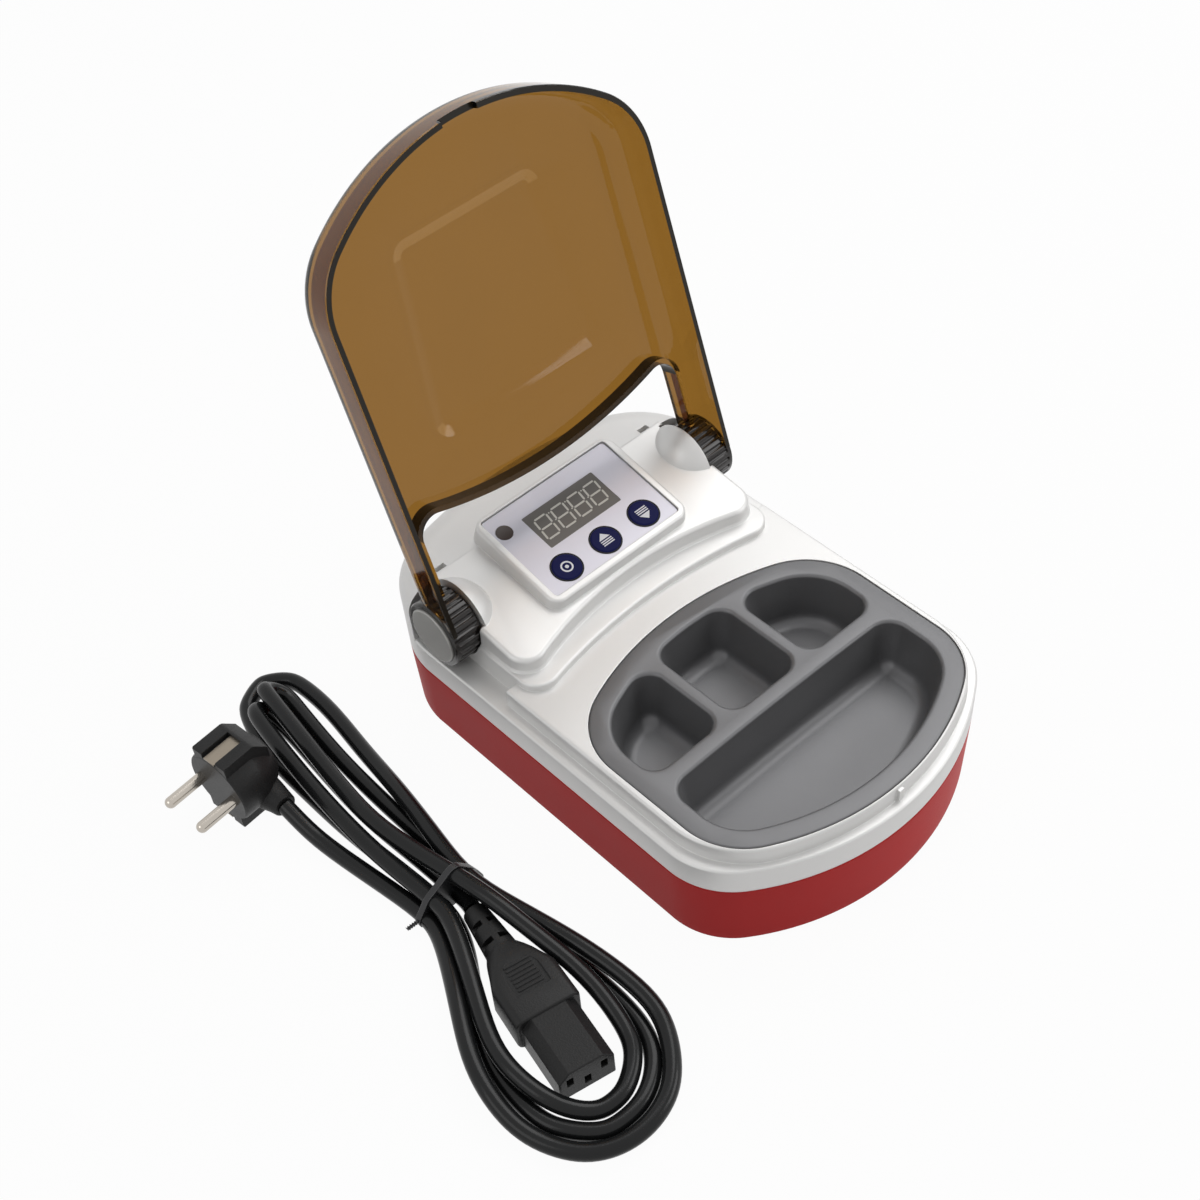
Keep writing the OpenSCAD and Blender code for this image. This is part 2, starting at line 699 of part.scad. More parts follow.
module power_inlet() {
  color([0.07, 0.07, 0.08])
    translate([inlet_x, rear_y, rear_z])
      difference() {
        union() {
          block([-15.5, 0, -12], [15.5, 2, 12]);
          block([-13.5, -19, -9.9], [13.5, 0.5, 9.9]);
        }
        block([-12, -14.5, -8.2], [12, 3, 8.2]);
        for (p = [[-7, 2], [7, 2], [0, -2]])
          block([p[0] - 1, -22, p[1] - 2], [p[0] + 1, -12, p[1] + 2]);
      }
}
module inlet_blades() {
  color([0.85, 0.82, 0.7])
    translate([inlet_x, rear_y, rear_z])
      for (p = [[-7, 2], [7, 2], [0, -2]])
        block([p[0] - 1, -25, p[1] - 2], [p[0] + 1, -3.4, p[1] + 2]);
}
module switch_frame() {
  color([0.07, 0.07, 0.08])
    translate([switch_x, rear_y, rear_z])
      difference() {
        union() {
          block([-10.5, 0, -7.5], [10.5, 1.6, 7.5]);
          block([-9.5, -16, -6.5], [9.5, 0.5, 6.5]);
        }
        block([-8.5, -9, -5.4], [8.5, 3, 5.4]);
        translate([0, -2.2, -6.2])
          cylinder(h = 12.4, r = 1.25, $fn = 24);
      }
}
module switch_rocker() {
  color([0.1, 0.1, 0.11])
    translate([switch_x, rear_y - 2.2, rear_z])
      rotate([0, 0, -7]) {
        translate([0, 0, -5.2])
          linear_extrude(height = 10.4)
            polygon([[-8, 0], [-7.6, 4.6], [0, 3.3], [7.6, 4.6], [8, 0], [3, -3.6], [-3, -3.6]]);
        translate([0, 0, -6])
          cylinder(h = 12, r = 1.2, $fn = 24);
      }
}
module case_screws() {
  color([0.7, 0.7, 0.72])
    for (p = case_posts)
      translate([p[0], p[1], 0]) {
        translate([0, 0, shell_bottom + 7.7])
          cylinder(h = 44.6 - shell_bottom - 7.7, r = 1.5, $fn = 24);
        translate([0, 0, shell_bottom + 5.2])
          cylinder(h = 2.5, r = 3, $fn = 24);
      }
}
module hinge_pin_right() {
  color([0.78, 0.78, 0.8])
    rod_x(dome_flat - 10, drum_out - cap_recess - 0.2, hinge_y, hinge_z, pin_r, 48);
}
module hinge_pin_left() {
  mirror([1, 0, 0])
    hinge_pin_right();
}

// turns a closed-lid shape to the open rest pose
module opened() {
  translate([0, hinge_y, hinge_z])
    rotate([-lid_open, 0, 0])
      translate([0, -hinge_y, -hinge_z])
        children();
}
// ribbed edge of a drum
function ribs() = [for (i = [0:143]) let (r = drum_r - (i % 6 < 3 ? 0.08 : 0.75))
  [r * cos(i * 2.5), r * sin(i * 2.5)]];
// outline of the raised square on the lid
function square_line(d) = let (w0 = lid_half_w - 39 - d, w1 = lid_half_w - 32 - d, y0 = 34.1 - body_front + d,
    y1 = -2 - d, r = 8 - d)
  concat(arc(w0 - r, y0 + r, r, 270, 360, 5), arc(w1 - r, y1 - r, r, 0, 90, 5),
    arc(r - w1, y1 - r, r, 90, 180, 5), arc(r - w0, y0 + r, r, 180, 270, 5));
module lid() {
  rim = ledge_z + 0.1;
  top = rim + lid_h;
  color([0.6, 0.42, 0.2, 0.75])
    opened() {
      difference() {
        union() {
          difference() {
            union() {
              loft([at_z(lid_line(0.3), rim), at_z(lid_line(0), rim + 0.6), at_z(lid_line(0), top - 7.5),
                at_z(lid_line(0.9), top - 4.4), at_z(lid_line(2.6), top - 2), at_z(lid_line(4.8), top - 0.6),
                at_z(lid_line(8), top)]);
              loft([at_z(square_line(0), top - 1), at_z(square_line(0), top), at_z(square_line(1.2), top + 0.9),
                at_z(square_line(4), top + 1.5)]);
            }
            difference() {
              union() {
                loft([at_z(lid_line(lid_wall - 0.2), rim - 1), at_z(lid_line(lid_wall), rim + 2),
                  at_z(lid_line(lid_wall), top - 8.5), at_z(lid_line(lid_wall + 1.4), top - 5),
                  at_z(lid_line(lid_wall + 4), top - 3), at_z(lid_line(lid_wall + 8), top - lid_wall)]);
                loft([at_z(square_line(2.4), top - 4), at_z(square_line(2.4), top - 2.2),
                  at_z(square_line(4), top - 1.2), at_z(square_line(6), top - 0.9)]);
              }
              // lip that hangs down along the rear cut-out
              prism(bowed(lip_half_w, shelf_front_y + 0.9, 197.8, 10.2, cut_y + 2.6), shelf_z + 0.8, top);
            }
            prism(bowed(cutout_half_w, shelf_front_y + 3.1, 200, 8, cut_y + 2.6), rim - 2, top + 4);
            block([-side_x, hinge_y - 2.5, rim - 2], [side_x, behind_y, top + 4]);
            // notch for the catch rib
            block([-7.7, -body_front - 4.9, rim - 2], [7.7, 7.1 - body_front, rim + 2.6]);
            both()
              rod_x(drum_out - cap_recess, side_x, hinge_y, hinge_z, cap_r, 64);
          }
          both()
            difference() {
              union() {
                translate([drum_in, hinge_y, hinge_z])
                  rotate([90, 0, 90])
                    linear_extrude(height = drum_out - drum_in - 2)
                      polygon(ribs());
                rod_x(drum_out - 2.2, drum_out, hinge_y, hinge_z, drum_r, 64);
              }
              rod_x(drum_out - cap_recess, side_x, hinge_y, hinge_z, cap_r, 64);
            }
        }
        // bores that run on the hinge pins
        both()
          rod_x(dome_flat - 10, side_x, hinge_y, hinge_z, pin_r + pin_clearance, 48);
      }
    }
}
module hinge_cap_right() {
  color([0.62, 0.62, 0.62])
    union() {
      rod_x(drum_out - cap_recess, drum_out - cap_recess + cap_t - 0.4, hinge_y, hinge_z, cap_r, 64);
      translate([drum_out - cap_recess + cap_t - 0.4, hinge_y, hinge_z])
        rotate([0, 90, 0])
          cylinder(h = 0.4, r1 = cap_r, r2 = cap_r - 0.4, $fn = 64);
    }
}
module hinge_cap_left() {
  mirror([1, 0, 0])
    hinge_cap_right();
}

// points the cord is laid along, from the plug's neck to the connector's tail
route = [[-148, 77, 9.2], [-146.9, 57.8, 4.2], [-143.1, 30.3, 3.6], [-139.6, 3.1, 3.7], [-142.2, -12.3, 4.5],
  [-154.8, -36.7, 8.9], [-168.3, -61.2, 9.5], [-173.1, -80.5, 7.1], [-172, -96.4, 4.3], [-165.2, -111.2, 4.1],
  [-155.6, -119.3, 4.3], [-143.6, -122.4, 4.5], [-131.4, -120.7, 4.8], [-120.7, -114.8, 5.7],
  [-110.7, -102, 7.2], [-106.4, -86.4, 10], [-108.8, -58, 11.1], [-114.4, -30.2, 11.1], [-119.4, -2.6, 10.7],
  [-115.6, 25.3, 11.2], [-110.6, 52.7, 8], [-106.7, 80.1, 4.1], [-102.9, 107.7, 3.9], [-103.1, 127.6, 3.8],
  [-106, 135, 3.8], [-112.3, 139.8, 3.7], [-116.3, 140.2, 3.7], [-123.4, 136.9, 3.7], [-129.1, 131, 3.6],
  [-134.7, 107.8, 3.6], [-135.5, 79.7, 3.6], [-135.4, 51.7, 3.6], [-133.3, 23.8, 3.6], [-132.2, -4.2, 3.6],
  [-138.6, -23, 3.6], [-153.6, -46, 3.6], [-164.1, -67.2, 3.6], [-165.4, -91.1, 3.6], [-161.5, -102.5, 3.6],
  [-153.9, -111.5, 3.6], [-146.5, -114.5, 3.6], [-134.7, -114.1, 3.6], [-124.2, -108.5, 3.6],
  [-116.6, -99.2, 3.6], [-112.6, -83.7, 3.6], [-112.4, -55.8, 3.6], [-114.7, -27.9, 3.6], [-116.2, 0, 3.6],
  [-116.8, 27.9, 3.6], [-116.9, 55.9, 3.6], [-115.9, 84.1, 3.8], [-112.9, 112, 4.1], [-111.7, 123.9, 5.2],
  [-112.6, 127.5, 6.6], [-114.9, 130.2, 8.5], [-117.8, 130.2, 11], [-119.5, 127.4, 13.1],
  [-123.2, 99.6, 13.2],
  [-126.7, 71.8, 12.3], [-129.1, 43.9, 12.8], [-126.1, 15.8, 14.3], [-122.3, -12.4, 17.5],
  [-119.1, -39.8, 14.5], [-117.1, -67.1, 12.2], [-120.2, -89.8, 8.3], [-125.4, -99.8, 6],
  [-134.9, -106.3, 5.2], [-142.6, -107.5, 5.1], [-149.9, -105.6, 5.4], [-157.2, -97.1, 7.4],
  [-161.3, -82.5, 9.9], [-159.8, -63.1, 10.8], [-147.9, -38.1, 11], [-136.4, -12.8, 10.7], [-135, 3.1, 10.2],
  [-136.9, 30.9, 10.7], [-136.3, 58.9, 11], [-134, 86.8, 11.4], [-130.6, 114.5, 12.2], [-128.8, 122.3, 11.6],
  [-126.9, 125.3, 10.1], [-124.1, 125.5, 7.4], [-122.3, 123.1, 5], [-121.9, 107.4, 3.6], [-124.4, 79.5, 3.6],
  [-126, 51.6, 3.7], [-124.5, 23.6, 3.7], [-124.1, -4.1, 4.4], [-127.1, -14.6, 9.2]];
// direction of the route at a point
function unit(v) = v / norm(v);
function heading(i) = unit(route[min(i + 1, len(route) - 1)] - route[max(i - 1, 0)]);
function ring_at(i, r, n) = let (t = heading(i),
    s = unit(cross([0, 0, 1], t)), u = cross(t, s))
  [for (k = [0:n - 1]) route[i] + s * r * cos(k * 360 / n) + u * r * sin(k * 360 / n)];
module mains_cord() {
  color([0.07, 0.07, 0.08])
    loft([for (i = [0:len(route) - 1]) ring_at(i, cord_d / 2, 10)]);
}
// where the outer strands pass through the tie, as x and z
tied = [[-139.6, 3.8], [-116.2, 3.8], [-134.9, 10.2], [-119.4, 10.7], [-124, 16.4]];
module tie_form(r, w) {
  rotate([90, 0, 0])
    linear_extrude(height = w, center = true)
      hull()
        for (p = tied)
          translate(p)
            circle(r = r, $fn = 24);
}
module cord_tie() {
  color([0.1, 0.1, 0.11])
    union() {
      difference() {
        tie_form(cord_d / 2 + 0.8, 4.4);
        difference() {
          tie_form(cord_d / 2 + 0.1, 6);
          block([-150, -4, -2], [-100, 4, 0.8]);
        }
        block([-150, -4, -2], [-100, 4, 0.1]);
      }
      block([-148.8, -1.6, 3.4], [-143.3, 1.6, 5.6]);
    }
}

// end of the plug's neck, just behind the start of the cord
neck_at = [-148.2, 80, 9.6];
// frame of the plug: the face at x = 0, the contact pins along x
module on_plug() {
  translate([-164.4, 96.4, plug_r])
    rotate([0, 0, 186])
      children();
}
module plug_body() {
  color([0.07, 0.07, 0.08])
    union() {
      on_plug()
        difference() {
          union() {
            rod_x(-13, -1, 0, 0, plug_r, 64);
            translate([-1, 0, 0])
              rotate([0, 90, 0])
                cylinder(h = 1, r1 = plug_r, r2 = plug_r - 1, $fn = 64);
            translate([-13, 0, 0])
              rotate([0, -90, 0])
                cylinder(h = 8, r1 = plug_r, r2 = plug_r - 5, $fn = 64);
            translate([-21, 0, 0])
              rotate([0, -90, 0])
                cylinder(h = 3, r1 = plug_r - 5, r2 = plug_r - 8, $fn = 64);
          }
          for (s = [-1, 1]) {
            // seats of the contact pins
            rod_x(-8, 1, s * plug_pin_spacing / 2, 0, plug_pin_r, 32);
            // grooves of the earth clips
            block([-14, -4, s > 0 ? plug_r - 2.6 : -plug_r - 1], [1, 4, s > 0 ? plug_r + 1 : 2.6 - plug_r]);
          }
        }
      hull() {
        translate([-152, 93, 13])
          sphere(r = 9, $fn = 24);
        translate(neck_at)
          sphere(r = 5.6, $fn = 24);
      }
      translate(neck_at)
        rotate([90 - 9, 0, 3])
          cylinder(h = 4, r = 5.2, $fn = 24);
    }
}
module plug_pins() {
  color([0.86, 0.84, 0.8])
    on_plug()
      for (s = [-1, 1]) {
        rod_x(-8, plug_pin_l - 2.4, s * plug_pin_spacing / 2, 0, plug_pin_r, 32);
        translate([plug_pin_l - 2.4, s * plug_pin_spacing / 2, 0])
          sphere(r = plug_pin_r, $fn = 32);
      }
}
module plug_earth_clips() {
  color([0.86, 0.84, 0.8])
    on_plug()
      for (s = [-1, 1])
        block([-14, -3, s > 0 ? plug_r - 2.6 : 1.8 - plug_r], [0, 3, s > 0 ? plug_r - 1.8 : 2.6 - plug_r]);
}

// frame of the connector: the face at x = 0, the body towards minus x
module on_connector() {
  translate([-143.2, -95.4, 9.2])
    rotate([0, 0, -101.3])
      children();
}
module grip_part(x0, x1, w, h) {
  rotate([90, 0, 90])
    translate([0, 0, x0])
      linear_extrude(height = x1 - x0)
        pad2(w, h, 3.4);
}
module connector_body() {
  color([0.09, 0.09, 0.1])
    on_connector()
      difference() {
        union() {
          rotate([90, 0, 90])
            translate([0, 0, -26.5])
              linear_extrude(height = 26.5)
                polygon([[-nose_w / 2, -nose_h / 2], [nose_w / 2, -nose_h / 2], [nose_w / 2, 3.4],
                  [nose_w / 2 - 4.4, nose_h / 2], [4.4 - nose_w / 2, nose_h / 2], [-nose_w / 2, 3.4]]);
          grip_part(-44, -26, 27, 18);
          hull() {
            grip_part(-44.2, -44, 27, 18);
            grip_part(-54, -53.8, 19.6, 16.6);
          }
          hull() {
            grip_part(-54, -53.8, 19.6, 16.6);
            rod_x(-61, -60, 0, 0, 7.6, 24);
          }
        }
        for (p = [[-7, 2], [7, 2], [0, -2]])
          block([-18, p[0] - 1.4, p[1] - 2.4], [1, p[0] + 1.4, p[1] + 2.4]);
        rod_x(-62, -56, 0, 0, 5, 24);
      }
}
module connector_contacts() {
  color([0.86, 0.8, 0.6])
    on_connector()
      for (p = [[-7, 2], [7, 2], [0, -2]])
        difference() {
          block([-18, p[0] - 1.4, p[1] - 2.4], [-3, p[0] + 1.4, p[1] + 2.4]);
          block([-17, p[0] - 1, p[1] - 2], [-2, p[0] + 1, p[1] + 2]);
        }
}
module connector_relief() {
  color([0.08, 0.08, 0.09])
    on_connector()
      difference() {
        union() {
          rod_x(-60.5, -56, 0, 0, 5, 24);
          translate([-82.4, 0, 0])
            rotate([0, 90, 0])
              cylinder(h = 21.9, r1 = 4.9, r2 = 6.6, $fn = 32);
        }
        // slots that let the relief bend
        for (i = [0:3])
          for (s = [-1, 1])
            block([-79 + i * 4.4, s > 0 ? 2 : -9, i % 2 == 0 ? -9 : 2.6],
              [-77 + i * 4.4, s > 0 ? 9 : -2, i % 2 == 0 ? -2.6 : 9]);
      }
}

base_shell();
foot_pads();
top_cover();
pot();
pot_gasket();
heater_plate();
heating_element();
insulation_pad();
temperature_sensor();
thermal_fuse();
pot_screws();
panel_label();
key_rings();
display_window();
display_module();
indicator_lens();
control_board();
key_switches();
power_board();
transformer();
relay();
power_inlet();
inlet_blades();
switch_frame();
case_screws();
board_screws();
hinge_pin_left();
hinge_pin_right();
lid();
hinge_cap_left();
hinge_cap_right();
key_set();
key_up();
key_down();
switch_rocker();
plug_body();
plug_pins();
plug_earth_clips();
mains_cord();
cord_tie();
connector_body();
connector_contacts();
connector_relief();
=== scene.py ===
"""Bench-top wax heater with a detached mains cord: the visual model, dressed and lit.

All builder functions take millimetres and turn them into metres once.
"""

import logging
import math
from dataclasses import dataclass, field
from enum import Enum
from typing import Callable, ClassVar, Iterable, Sequence

import bmesh
import bpy
from mathutils import Matrix, Vector


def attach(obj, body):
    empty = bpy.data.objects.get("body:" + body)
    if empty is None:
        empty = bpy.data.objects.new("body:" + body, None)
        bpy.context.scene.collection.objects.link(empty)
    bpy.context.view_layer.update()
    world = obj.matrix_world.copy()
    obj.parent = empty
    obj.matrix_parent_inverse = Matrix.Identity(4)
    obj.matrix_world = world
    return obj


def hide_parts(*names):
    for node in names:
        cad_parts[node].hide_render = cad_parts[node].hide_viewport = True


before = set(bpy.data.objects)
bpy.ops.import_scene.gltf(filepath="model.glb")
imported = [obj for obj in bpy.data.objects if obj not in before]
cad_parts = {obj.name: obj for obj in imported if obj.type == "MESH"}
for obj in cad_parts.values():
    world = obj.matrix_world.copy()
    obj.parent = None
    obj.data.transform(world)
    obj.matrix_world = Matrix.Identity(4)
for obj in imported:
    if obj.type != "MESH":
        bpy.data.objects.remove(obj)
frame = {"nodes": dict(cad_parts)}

LOG = logging.getLogger("wax_heater")
MM = 0.001
Point2 = tuple[float, float]
Point3 = tuple[float, float, float]
Line = list[Point2]
Ring = list[Point3]
Piece = bpy.types.Object
Tree = bpy.types.NodeTree
Node = bpy.types.Node
Socket = bpy.types.NodeSocket


class Body(Enum):
    """Names of the moving groups that pieces ride on."""

    BASE = "body"
    LID = "lid_part"
    KEY_SET = "key_set_part"
    KEY_UP = "key_up_part"
    KEY_DOWN = "key_down_part"
    ROCKER = "rocker_part"


class Cut(Enum):
    """Kinds of mesh boolean."""

    AWAY = "DIFFERENCE"
    JOIN = "UNION"
    KEEP = "INTERSECT"


# Outlines


def arc(cx: float, cy: float, r: float, a0: float, a1: float, n: int) -> Line:
    """Points along an arc, leaving out the last one.

    Args:
        cx: centre x.
        cy: centre y.
        r: radius.
        a0: first angle in degrees.
        a1: last angle in degrees.
        n: number of points.

    Returns:
        The points in order.
    """
    out = []
    for i in range(n):
        a = math.radians(a0 + (a1 - a0) * i / n)
        out.append((cx + r * math.cos(a), cy + r * math.sin(a)))
    return out


@dataclass(frozen=True)
class BowedBox:
    """Outline with a bowed front and back, straight sides and four round corners."""

    half_w: float
    front: float
    front_r: float
    front_corner: float
    back: float
    back_r: float
    back_corner: float
    arc_n: int = 44
    corner_n: int = 26

    def line(self, d: float = 0.0) -> Line:
        """Gives the outline.

        Args:
            d: how far it's moved inwards.

        Returns:
            Its points, anticlockwise.
        """
        w, yf, rf = self.half_w - d, self.front + d, self.front_r - d
        yb, rb = self.back - d, self.back_r - d
        ff, fb = max(self.front_corner - d, 1.0), max(self.back_corner - d, 1.0)
        fy = yf + rf - math.sqrt((rf - ff) ** 2 - (w - ff) ** 2)
        by = yb - rb + math.sqrt((rb - fb) ** 2 - (w - fb) ** 2)
        pf = math.degrees(math.asin((w - ff) / (rf - ff)))
        pb = math.degrees(math.asin((w - fb) / (rb - fb)))
        n, m = self.arc_n, self.corner_n
        return (
            arc(0, yf + rf, rf, -90 - pf, -90 + pf, n)
            + arc(w - ff, fy, ff, -90 + pf, 0, m)
            + arc(w - fb, by, fb, 0, 90 - pb, m)
            + arc(0, yb - rb, rb, 90 - pb, 90 + pb, n)
            + arc(fb - w, by, fb, 90 + pb, 180, m)
            + arc(ff - w, fy, ff, 180, 270 - pf, m)
        )


@dataclass(frozen=True)
class HollowBow:
    """Outline whose front edge bows inwards, as the plateau's and the lid's cut-out do."""

    half_w: float
    front: float
    front_r: float
    corner: float
    back: float

    def line(self, d: float = 0.0) -> Line:
        """Gives the outline.

        Args:
            d: how far it's moved inwards.

        Returns:
            Its points, anticlockwise.
        """
        w, y0, yb = self.half_w - d, self.front + d, self.back - d
        r, c = self.front_r + d, max(self.corner - d, 0.8)
        fy = y0 - r + math.sqrt((r + c) ** 2 - (w - c) ** 2)
        p = math.degrees(math.asin((w - c) / (r + c)))
        return (
            arc(0, y0 - r, r, 90 + p, 90 - p, 60)
            + arc(w - c, fy, c, 270 - p, 360, 18)
            + [(w, fy), (w, yb), (-w, yb)]
            + arc(c - w, fy, c, 180, 270 + p, 18)
        )


@dataclass(frozen=True)
class SideWell:
    """Outline of the well beside the middle one, on the right."""

    inner: float
    outer: float
    front: float
    back: float
    back_r: float
    small: float
    large: float

    def line(self, d: float = 0.0) -> Line:
        """Gives the outline.

        Args:
            d: how far it's moved inwards.

        Returns:
            Its points, anticlockwise.
        """
        a, b, y0 = self.inner + d, self.outer - d, self.front + d
        cy = self.back - self.back_r
        rb = self.back_r - d
        c, big = max(self.small - d * 0.6, 2.0), max(self.large - d, 2.0)
        y3 = cy + math.sqrt((rb - big) ** 2 - (b - big) ** 2)
        y4 = cy + math.sqrt((rb - c) ** 2 - (a + c) ** 2)
        t3 = math.degrees(math.atan2(y3 - cy, b - big))
        t4 = math.degrees(math.atan2(y4 - cy, a + c))
        return (
            arc(a + c, y0 + c, c, 180, 270, 12)
            + arc(b - c, y0 + c, c, 270, 360, 12)
            + arc(b - big, y3, big, 0, t3, 20)
            + arc(0, cy, rb, t3, t4, 16)
            + arc(a + c, y4, c, t4, 180, 12)
        )


@dataclass(frozen=True)
class RoundRect:
    """Rectangle with round corners; the back may be wider than the front."""

    front_half: float
    back_half: float
    front: float
    back: float
    r: float
    n: int = 10

    def line(self, d: float = 0.0) -> Line:
        """Gives the outline.

        Args:
            d: how far it's moved inwards.

        Returns:
            Its points, anticlockwise.
        """
        w0, w1, r = self.front_half - d, self.back_half - d, max(self.r - d, 0.4)
        y0, y1 = self.front + d, self.back - d
        return (
            arc(w0 - r, y0 + r, r, 270, 360, self.n)
            + arc(w1 - r, y1 - r, r, 0, 90, self.n)
            + arc(r - w1, y1 - r, r, 90, 180, self.n)
            + arc(r - w0, y0 + r, r, 180, 270, self.n)
        )


def circle(x: float, y: float, z: float, r: float, n: int) -> Ring:
    """Gives a ring of points round an axis along x."""
    angles = [2 * math.pi * i / n for i in range(n)]
    return [(x, y + r * math.cos(a), z + r * math.sin(a)) for a in angles]


def stand(x: float, y: float, z: float, turn: float, axis: str) -> Matrix:
    """Gives a frame that is turned about one axis."""
    return Matrix.Translation(Vector((x, y, z)) * MM) @ Matrix.Rotation(math.radians(turn), 4, axis)


def at_z(line: Line, z: float | Callable[[float], float]) -> Ring:
    """Puts a height on every point of an outline.

    Args:
        line: the outline.
        z: the height, or a function of y that gives it.

    Returns:
        The ring of points.
    """
    if callable(z):
        return [(x, y, z(y)) for x, y in line]
    return [(x, y, z) for x, y in line]


# Meshes


class Maker:
    """Builds meshes from rings and joins them with booleans."""

    def __init__(self) -> None:
        """Starts with the scene's own collection."""
        self.home = bpy.context.scene.collection

    def from_data(self, name: str, verts: Sequence[Point3], faces: Sequence[Sequence[int]]) -> Piece:
        """Makes an object from points in millimetres.

        Args:
            name: piece name.
            verts: points in millimetres.
            faces: corner numbers of each face.

        Returns:
            The new object.
        """
        mesh = bpy.data.meshes.new(name)
        mesh.from_pydata([(x * MM, y * MM, z * MM) for x, y, z in verts], [], [list(f) for f in faces])
        mesh.validate()
        mesh.update()
        obj = bpy.data.objects.new(name, mesh)
        self.home.objects.link(obj)
        return obj

    def loft(self, name: str, rings: Sequence[Ring]) -> Piece:
        """Makes a closed skin through rings.

        Args:
            name: piece name.
            rings: its rings, each of the same number of points.

        Returns:
            The new object, closed at its first and last ring.
        """
        n, m = len(rings[0]), len(rings)
        verts = [p for ring in rings for p in ring]
        faces = [list(range(n - 1, -1, -1)), [(m - 1) * n + i for i in range(n)]]
        for k in range(m - 1):
            for i in range(n):
                a, b = k * n + i, k * n + (i + 1) % n
                faces.append([a, b, b + n, a + n])
        return self.from_data(name, verts, faces)

    def box(self, name: str, a: Point3, b: Point3) -> Piece:
        """Makes a box."""
        line = [(a[0], a[1]), (b[0], a[1]), (b[0], b[1]), (a[0], b[1])]
        return self.loft(name, [at_z(line, a[2]), at_z(line, b[2])])

    def rod_x(self, name: str, xs: Point2, y: float, z: float, r: float, n: int = 96) -> Piece:
        """Makes a cylinder along x."""
        return self.loft(name, [circle(x, y, z, r, n) for x in xs])

    def turned(self, name: str, profile: Sequence[Point2], n: int = 96) -> Piece:
        """Makes a solid turned about the x axis."""
        return self.loft(name, [circle(x, 0, 0, r, n) for x, r in profile])

    def ball(self, name: str, centre: Point3, r: float, rows: int = 48) -> Piece:
        """Makes a sphere.

        Args:
            name: piece name.
            centre: its middle.
            r: radius.
            rows: number of its rows of faces.

        Returns:
            The new object.
        """
        bm = bmesh.new()
        bmesh.ops.create_uvsphere(bm, u_segments=rows * 2, v_segments=rows, radius=r * MM)
        mesh = bpy.data.meshes.new(name)
        bm.to_mesh(mesh)
        bm.free()
        mesh.transform(Matrix.Translation(Vector(centre) * MM))
        obj = bpy.data.objects.new(name, mesh)
        self.home.objects.link(obj)
        return obj

    def cut(self, target: Piece, tool: Piece, how: Cut) -> Piece:
        """Applies one boolean and removes the tool.

        Args:
            target: object that is changed.
            tool: object that is used up.
            how: kind of boolean.

        Returns:
            The changed target.
        """
        mod = target.modifiers.new("cut", "BOOLEAN")
        mod.operation = how.value
        mod.solver = "EXACT"
        mod.object = tool
        graph = bpy.context.evaluated_depsgraph_get()
        mesh = bpy.data.meshes.new_from_object(target.evaluated_get(graph))
        target.modifiers.clear()
        old = target.data
        target.data = mesh
        mesh.name = target.name
        bpy.data.meshes.remove(old)
        self.drop(tool)
        return target

    def drop(self, obj: Piece) -> None:
        """Removes a helper object and its mesh.

        Args:
            obj: the helper.
        """
        mesh = obj.data
        bpy.data.objects.remove(obj, do_unlink=True)
        if mesh.users == 0:
            bpy.data.meshes.remove(mesh)

    def smooth(self, obj: Piece, angle: float = 28.0) -> Piece:
        """Cleans a mesh and shades it smooth, with sharp edges where faces meet steeply.

        Args:
            obj: the object.
            angle: smallest angle of a sharp edge, in degrees.

        Returns:
            The same object.
        """
        bm = bmesh.new()
        bm.from_mesh(obj.data)
        bmesh.ops.remove_doubles(bm, verts=bm.verts, dist=1e-6)
        bmesh.ops.dissolve_degenerate(bm, dist=1e-6, edges=bm.edges)
        bmesh.ops.recalc_face_normals(bm, faces=bm.faces)
        limit = math.radians(angle)
        for face in bm.faces:
            face.smooth = True
        for edge in bm.edges:
            edge.smooth = len(edge.link_faces) == 2 and edge.calc_face_angle(0.0) < limit
        bm.to_mesh(obj.data)
        bm.free()
        obj.data.update()
        return obj

    def join(self, name: str, parts: Iterable[Piece]) -> Piece:
        """Puts several meshes in one object without a boolean.

        Args:
            name: piece name.
            parts: objects that are used up.

        Returns:
            The new object.
        """
        parts = list(parts)
        bm = bmesh.new()
        for part in parts:
            part.data.transform(part.matrix_world)
            bm.from_mesh(part.data)
        mesh = bpy.data.meshes.new(name)
        bm.to_mesh(mesh)
        bm.free()
        obj = bpy.data.objects.new(name, mesh)
        self.home.objects.link(obj)
        for part in parts:
            self.drop(part)
        return obj


def place(obj: Piece, mat: "Paint", body: Body, slot: str, *nodes: str) -> Piece:
    """Gives a piece its material and body, and hides the CAD nodes it stands for.

    Args:
        obj: the piece.
        mat: its finish.
        body: group it rides on.
        slot: not used.
        nodes: CAD nodes that it replaces.

    Returns:
        The piece.
    """
    if len(obj.data.materials) == 0:
        obj.data.materials.append(mat.material())
    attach(obj, body.value)
    if nodes:
        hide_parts(*nodes)
    LOG.info("%s: %d faces on %s", obj.name, len(getattr(obj.data, "polygons", ())), body.value)
    return obj


# Shader groups


def new_group(name: str, ins: dict[str, float], outs: Sequence[str]) -> tuple[Tree, Node, Node]:
    """Makes an empty shader group with named sockets.

    Args:
        name: group name.
        ins: name and default of each input.
        outs: name of each output, of which "Normal" is a vector.

    Returns:
        The node tree, its input node and its output node.
    """
    tree = bpy.data.node_groups.new(name, "ShaderNodeTree")
    for label, value in ins.items():
        sock = tree.interface.new_socket(name=label, in_out="INPUT", socket_type="NodeSocketFloat")
        sock.default_value = value
    for label in outs:
        kind = "NodeSocketVector" if label == "Normal" else "NodeSocketFloat"
        tree.interface.new_socket(name=label, in_out="OUTPUT", socket_type=kind)
    return tree, tree.nodes.new("NodeGroupInput"), tree.nodes.new("NodeGroupOutput")


